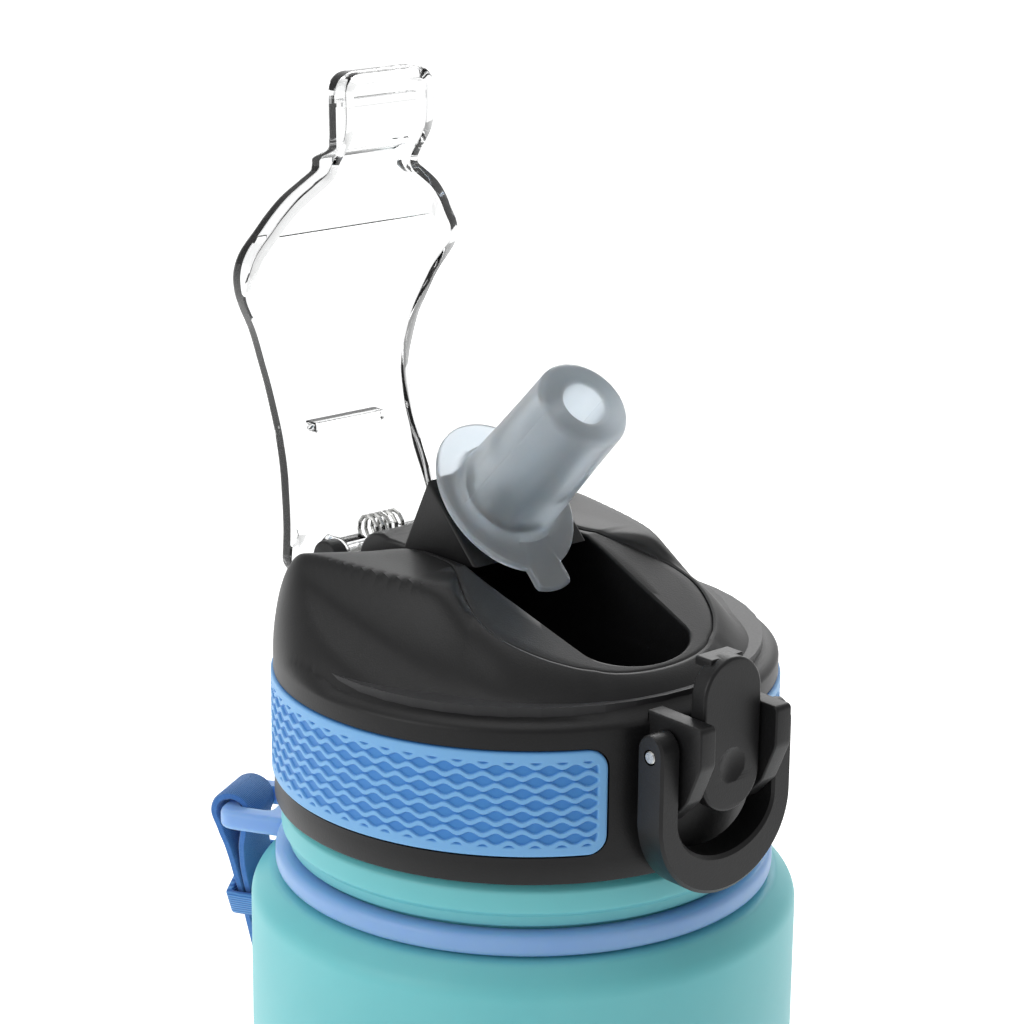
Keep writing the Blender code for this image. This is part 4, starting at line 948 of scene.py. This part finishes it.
# %% [markdown]
# Inside the tray are a short rib that presses the folded spout shut, a low step across the tray, a catch shelf
# in the neck for the latch, and two knuckles for the hinge pin. They are joined to the tray as one solid, since
# light must cross one body of plastic without meeting a hidden face.

# %% Cover details and clear plastic


def make_cover(tray):
    ceiling = cover_top(14.8) - COVER_WALL
    y, z = HINGE.y, HINGE.z
    knuckle = circle((y, z), 2.93, 0, -180, 20) + [(y - 2.93, z + 3.2), (y - 0.5, z + 5.9), (y + 1.8, z + 5.9), (y + 2.93, z + 4.9)]
    parts = [plate("knuckle", [knuckle], 4.0, 0.25, "YZ", (side * 5.61, 0, 0)) for side in (-1, 1)]
    rib = rounded([(-6.5, ceiling + 0.4), (-6.5, ceiling - 2.4), (6.5, ceiling - 2.4), (6.5, ceiling + 0.4), (-6.4, ceiling + 0.4)], 0.7)
    parts.append(plate("rib", [rib[:-1]], 1.5, 0.3, "XZ", (0, 14.8, 0)))
    step = cover_top(-14) - COVER_WALL
    parts.append(plate("step", [[(-16.2, step + 0.5), (-16.2, step - 0.5), (16.2, step - 0.5), (16.2, step + 0.5)]], 1.0, 0.2, "XZ", (0, -14, 0)))
    parts.append(box("shelf", (-6.93, -34.37, 25.77), (6.93, -33.21, 27.83)))
    for part in parts:
        combine(tray, part, "UNION", "EXACT")
    combine(tray, rod("hole", 1.15, HINGE - ACROSS * 9, HINGE + ACROSS * 9), "DIFFERENCE", "EXACT")
    hinge = Vector((0, HINGE.y / 1000, RIM + HINGE.z / 1000))
    tray.data.transform(Matrix.Translation(hinge) @ Matrix.Rotation(math.radians(-91), 4, "X") @ Matrix.Translation(-hinge))
    return tray


def clear_plastic():
    clear = Finish("clear_plastic", (0.93, 0.935, 0.935), Roughness=0.02, IOR=1.49, Transmission_Weight=1.0)
    ripple = clear.noise(28, 2)
    return clear.use(Normal=clear.bump(ripple, 0.0006, 0.06), Roughness=0.01 + ripple * 0.03)


make_cover(cover)
dress(even(cover), "cover", clear_plastic(), "clear_plastic", "flip_cover")

# %% [markdown]
# ## Mouthpiece
# The mouthpiece is one soft silicone moulding: a tapered nozzle, an egg-shaped flange with a pull tab, and a
# plug that sits in the arm. It is sampled round the nozzle's own axis, and the flange's edge simply changes
# its distance with the angle. The two thin ridges are the mould's parting line. The silicone is cloudy, so
# light is let through a rough surface and scattered a little below it.

# %% Mouthpiece
NOZZLE_AXIS = Matrix.Translation((0, 4.8, 42.0)) @ Matrix.Rotation(math.radians(44), 4, "X")


def flange_edge(turn):
    """Distance of the flange's edge from the axis, with the tab at the low side."""
    across, along = math.cos(turn), math.sin(turn)
    egg = 1 / math.sqrt((across / 10.2) ** 2 + (along / 12.2) ** 2)
    if along < -0.9:
        slope = abs(across / along)
        tab = min(15.6 - 2.2 * slope**2 * 8, 2.9 / max(slope, 0.001) * 0.98)
        egg = max(egg, min(tab / abs(along), 15.6))
    return egg


def mouthpiece_row(turn):
    edge, ridge = flange_edge(turn), 0.07 * math.exp(-((math.sin(turn) * 7 / 0.12) ** 2)) if abs(math.sin(turn)) < 0.3 else 0
    line = [(3.15, -5.6), (3.15, 23.2), (3.45, 23.62), (3.9, 23.7), (5.2, 23.7)]
    line += [(5.7 + 1.1 * math.sin(t), 22.6 + 1.1 * math.cos(t)) for t in np.linspace(0, math.pi / 2, 7)]
    line += [(6.95, 16), (7.2, 8), (7.4, 3.4), (7.6, 2.0), (8.1, 1.05)]
    edge = max(edge, 8.9)
    line += [(8.1 + (edge - 0.5 - 8.1) * k, 0.62 + 0.25 * (1 - k) ** 2) for k in (0.3, 0.6, 1.0)]
    line += [(edge - 0.5 + 0.5 * math.sin(t), 0.6 * math.cos(t)) for t in np.linspace(0.3, math.pi - 0.3, 6)]
    line += [(edge - 0.5, -0.6), (6, -0.6), (4.2, -0.62), (4.2, -5.3), (3.9, -5.7), (3.4, -5.7)]
    count = len(line)
    return [(*((r + ridge * (0.5 < i < 19)) * v for v in (math.cos(turn), math.sin(turn))), h) for i, (r, h) in zip(range(count), line)]


def make_mouthpiece():
    rows = [[NOZZLE_AXIS @ Vector(p) for p in mouthpiece_row(2 * math.pi * i / 360)] for i in range(360)]
    return piece("nozzle", *skin(rows, wrap_points=True), sharp=45)


def cloudy_silicone():
    cloudy = Finish("cloudy_silicone", srgb(232, 240, 246), Roughness=0.28, IOR=1.41, Transmission_Weight=0.8,
                    Subsurface_Weight=0.6, Subsurface_Radius=(0.004, 0.005, 0.006), Subsurface_Scale=1.0)
    cloud, skin_grain = cloudy.noise(150, 4), cloudy.noise(2600, 2)
    cloudy.use(Base_Color=cloudy.mix(cloud, srgb(216, 230, 241), srgb(242, 246, 249)))
    return cloudy.use(Roughness=0.24 + cloud * 0.16, Normal=cloudy.bump(skin_grain, 0.00002, 0.4))


nozzle = dress(make_mouthpiece(), "spout", cloudy_silicone(), "clear_silicone", "mouthpiece")

# %% [markdown]
# ## Spout arm
# The arm is a black block that swings on a pin and carries the mouthpiece on its sloping face. A rounded plate
# across the bottle gives it, with the bores for the pin and for the mouthpiece's plug.

# %% Spout arm


def make_arm():
    axis, upward = Vector((0, -math.sin(math.radians(44)), math.cos(math.radians(44)))), Vector((0, math.cos(math.radians(44)), math.sin(math.radians(44))))
    face = Vector((0, 4.8, 42.0)) - PIVOT - axis * 0.95
    upper, lower = face + upward * 5.5, face - upward * 9.0
    outline = [(upper.y, upper.z), (lower.y, lower.z), (-6.7, -0.3)] + circle((0, 0), 5, -170, 110, 28) + [(upper.y + 5.2, upper.z - 10.4)]
    arm = plate("arm", [outline], 20.6, 0.5, "YZ", PIVOT)
    combine(arm, rod("hole", 1.4, PIVOT - ACROSS * 14, PIVOT + ACROSS * 14), "DIFFERENCE")
    plug = PIVOT + face
    combine(arm, rod("hole", 4.45, plug - axis * 6.4, plug + axis * 6), "DIFFERENCE")
    return dress(even(arm), "spout", cap_black, "cap_plastic", "spout_arm")


arm = make_arm()

# %% [markdown]
# ## Latch
# An obround button rocks on a steel pin between the ears. Its upper end hooks over the cover's neck, and a
# thumb dimple marks where to press. The U-shaped lock hangs from the same pin and swings up over the neck.
# Both are black and a little smoother than the cap.

# %% Latch


def make_button():
    outline = circle((0, 14.6), 5.2, -180, 0, 32) + circle((0, 25.7), 5.2, 0, 180, 32)
    button = plate("button", [outline], 2.8, 0.45, "XZ", (0, -40.2, 0))
    hook = rounded([(-3, 29.55), (-3, 30.7), (3, 30.7), (3, 29.55), (-2.9, 29.55)], 0.4)
    combine(button, plate("hook", [hook[:-1]], 3.0, 0.2, "XZ", (0, -38.7, 0)), "UNION", "EXACT")
    combine(button, rod("hub", 2.6, LATCH - ACROSS * 5.15, LATCH + ACROSS * 5.15, 0.3), "UNION", "EXACT")
    combine(button, rod("hole", 1.1, LATCH - ACROSS * 6, LATCH + ACROSS * 6), "DIFFERENCE", "EXACT")
    ball = turned("ball", [(5 * math.sin(t), -5 * math.cos(t)) for t in np.linspace(0, math.pi, 33)], 64)
    ball.data.transform(Matrix.Translation((0, -0.0459, 0.0159)))
    combine(button, ball, "DIFFERENCE", "EXACT")
    return button


def make_bail():
    """A sweep down one arm, round the bar and up the other, with rounded eyes at the pin."""
    outer, inner, arc_z = 11.95, 8.65, 9.7
    depth = 4.9 / 2
    eye_top = LATCH.z + 3.0
    rows = []
    drops = [eye_top - h for h in (0, 0.03, 0.12, 0.3, 0.6, 1.0, 1.5, 2.1, 3.0, 5.0, 8.0)]
    path = [(z, None) for z in drops] + [(arc_z, t) for t in np.linspace(0, math.pi, 61)] + [(z, None) for z in reversed(drops)]
    for i, (z, turn) in enumerate(path):
        side = 1 if i < len(path) / 2 else -1
        if turn is None:
            over = max(0.0, z - (eye_top - depth))
            half = math.sqrt(max(0.0025, depth**2 - over**2)) if over else depth
            near, far = (side * inner, z), (side * outer, z)
        else:
            half = depth
            near = (inner * math.cos(turn), arc_z - 6.6 * math.sin(turn))
            far = (outer * math.cos(turn), arc_z - 12.0 * math.sin(turn))
        soft = min(0.4, half * 0.9)
        section = []
        for a, b in ((0, -1), (0.1, -1), (0.9, -1), (1, -1), (1, 1), (0.9, 1), (0.1, 1), (0, 1)):
            at_corner = a in (0, 1)
            share = a if not at_corner else a
            x, zz = near[0] + (far[0] - near[0]) * share, near[1] + (far[1] - near[1]) * share
            y = b * (half - (soft if at_corner else 0))
            section.append((x, LATCH.y + y, zz))
        rows.append(section)
    points, faces = skin(rows, wrap_rows=False, wrap_points=True)
    last = len(points) - 8
    bail = piece("bail", points, faces + [tuple(range(8)), tuple(range(last, last + 8))], sharp=30)
    combine(bail, rod("hole", 1.1, LATCH - ACROSS * 13, LATCH + ACROSS * 13), "DIFFERENCE", "EXACT")
    return bail


latch_black = satin_black("latch_black", (0.010, 0.010, 0.0105), 0.30)
button = dress(even(make_button()), "button", latch_black, "latch_plastic", "latch_button")
bail = dress(even(make_bail()), "bail", latch_black, "latch_plastic", "lock_bail")

# %% [markdown]
# ## Pins, springs and inner parts
# The steel pins are drawn wire, so their roughness has a faint lengthwise streak. The parts inside the cap are
# kept as the frame has them, and get finishes of their own, because they show when the cap comes off.

# %% Steel and inner parts


def steel():
    bright = Finish("drawn_steel", (0.62, 0.62, 0.61), Metallic=1.0, Roughness=0.25)
    streak = bright.node("ShaderNodeMapping", {"vector_type": "POINT"}, {"Vector": bright.place, "Scale": (40, 900, 900)})
    drawn = bright.noise(3, 3, place=streak)
    bright.use(Roughness=0.16 + drawn * 0.22, Base_Color=bright.mix(drawn, (0.50, 0.50, 0.49), (0.72, 0.72, 0.70)))
    return bright


def moulded(name, colour, rough, **constants):
    """A plain moulded plastic or rubber: a slight cloud in the colour and a fine skin in the roughness."""
    plain = Finish(name, colour, **constants)
    cloud, fine = plain.noise(120, 3), plain.noise(3000, 2)
    darker = tuple(channel * 0.85 for channel in colour)
    return plain.use(Base_Color=plain.mix(cloud, darker, colour), Roughness=rough + fine * 0.12, Normal=plain.bump(fine, 0.00002, 0.4))


def make_pins():
    made = steel()
    for name, where, radius, half in (("hinge_pin", HINGE, 1.0, 10.1), ("spout_axle", PIVOT, 1.2, 12.3), ("lock_pin", LATCH, 0.9, 12.0)):
        node = {"hinge_pin": "cover_hinge_pin", "spout_axle": "spout_pin", "lock_pin": "latch_pin"}[name]
        dress(rod(name, radius, where - ACROSS * half, where + ACROSS * half, 0.15), "cap", made, "pin_steel", node)
    return made


spring_steel = make_pins()
inner_finishes = {
    "cap_liner": moulded("liner_black", (0.03, 0.03, 0.032), 0.4),
    "cap_gasket": moulded("gasket_white", srgb(214, 220, 224), 0.45),
    "spout_seal": moulded("seal_white", srgb(206, 212, 218), 0.45),
    "vent_valve": moulded("valve_white", srgb(206, 212, 218), 0.45),
    "straw": moulded("straw_clear", srgb(226, 236, 240), 0.25, Transmission_Weight=0.6),
    "cover_spring": spring_steel,
    "latch_spring": spring_steel,
}
for node, finish in inner_finishes.items():
    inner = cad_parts[node]
    inner.data.materials.clear()
    inner.data.materials.append(finish.material)
print("kept from the frame:", ", ".join(inner_finishes))
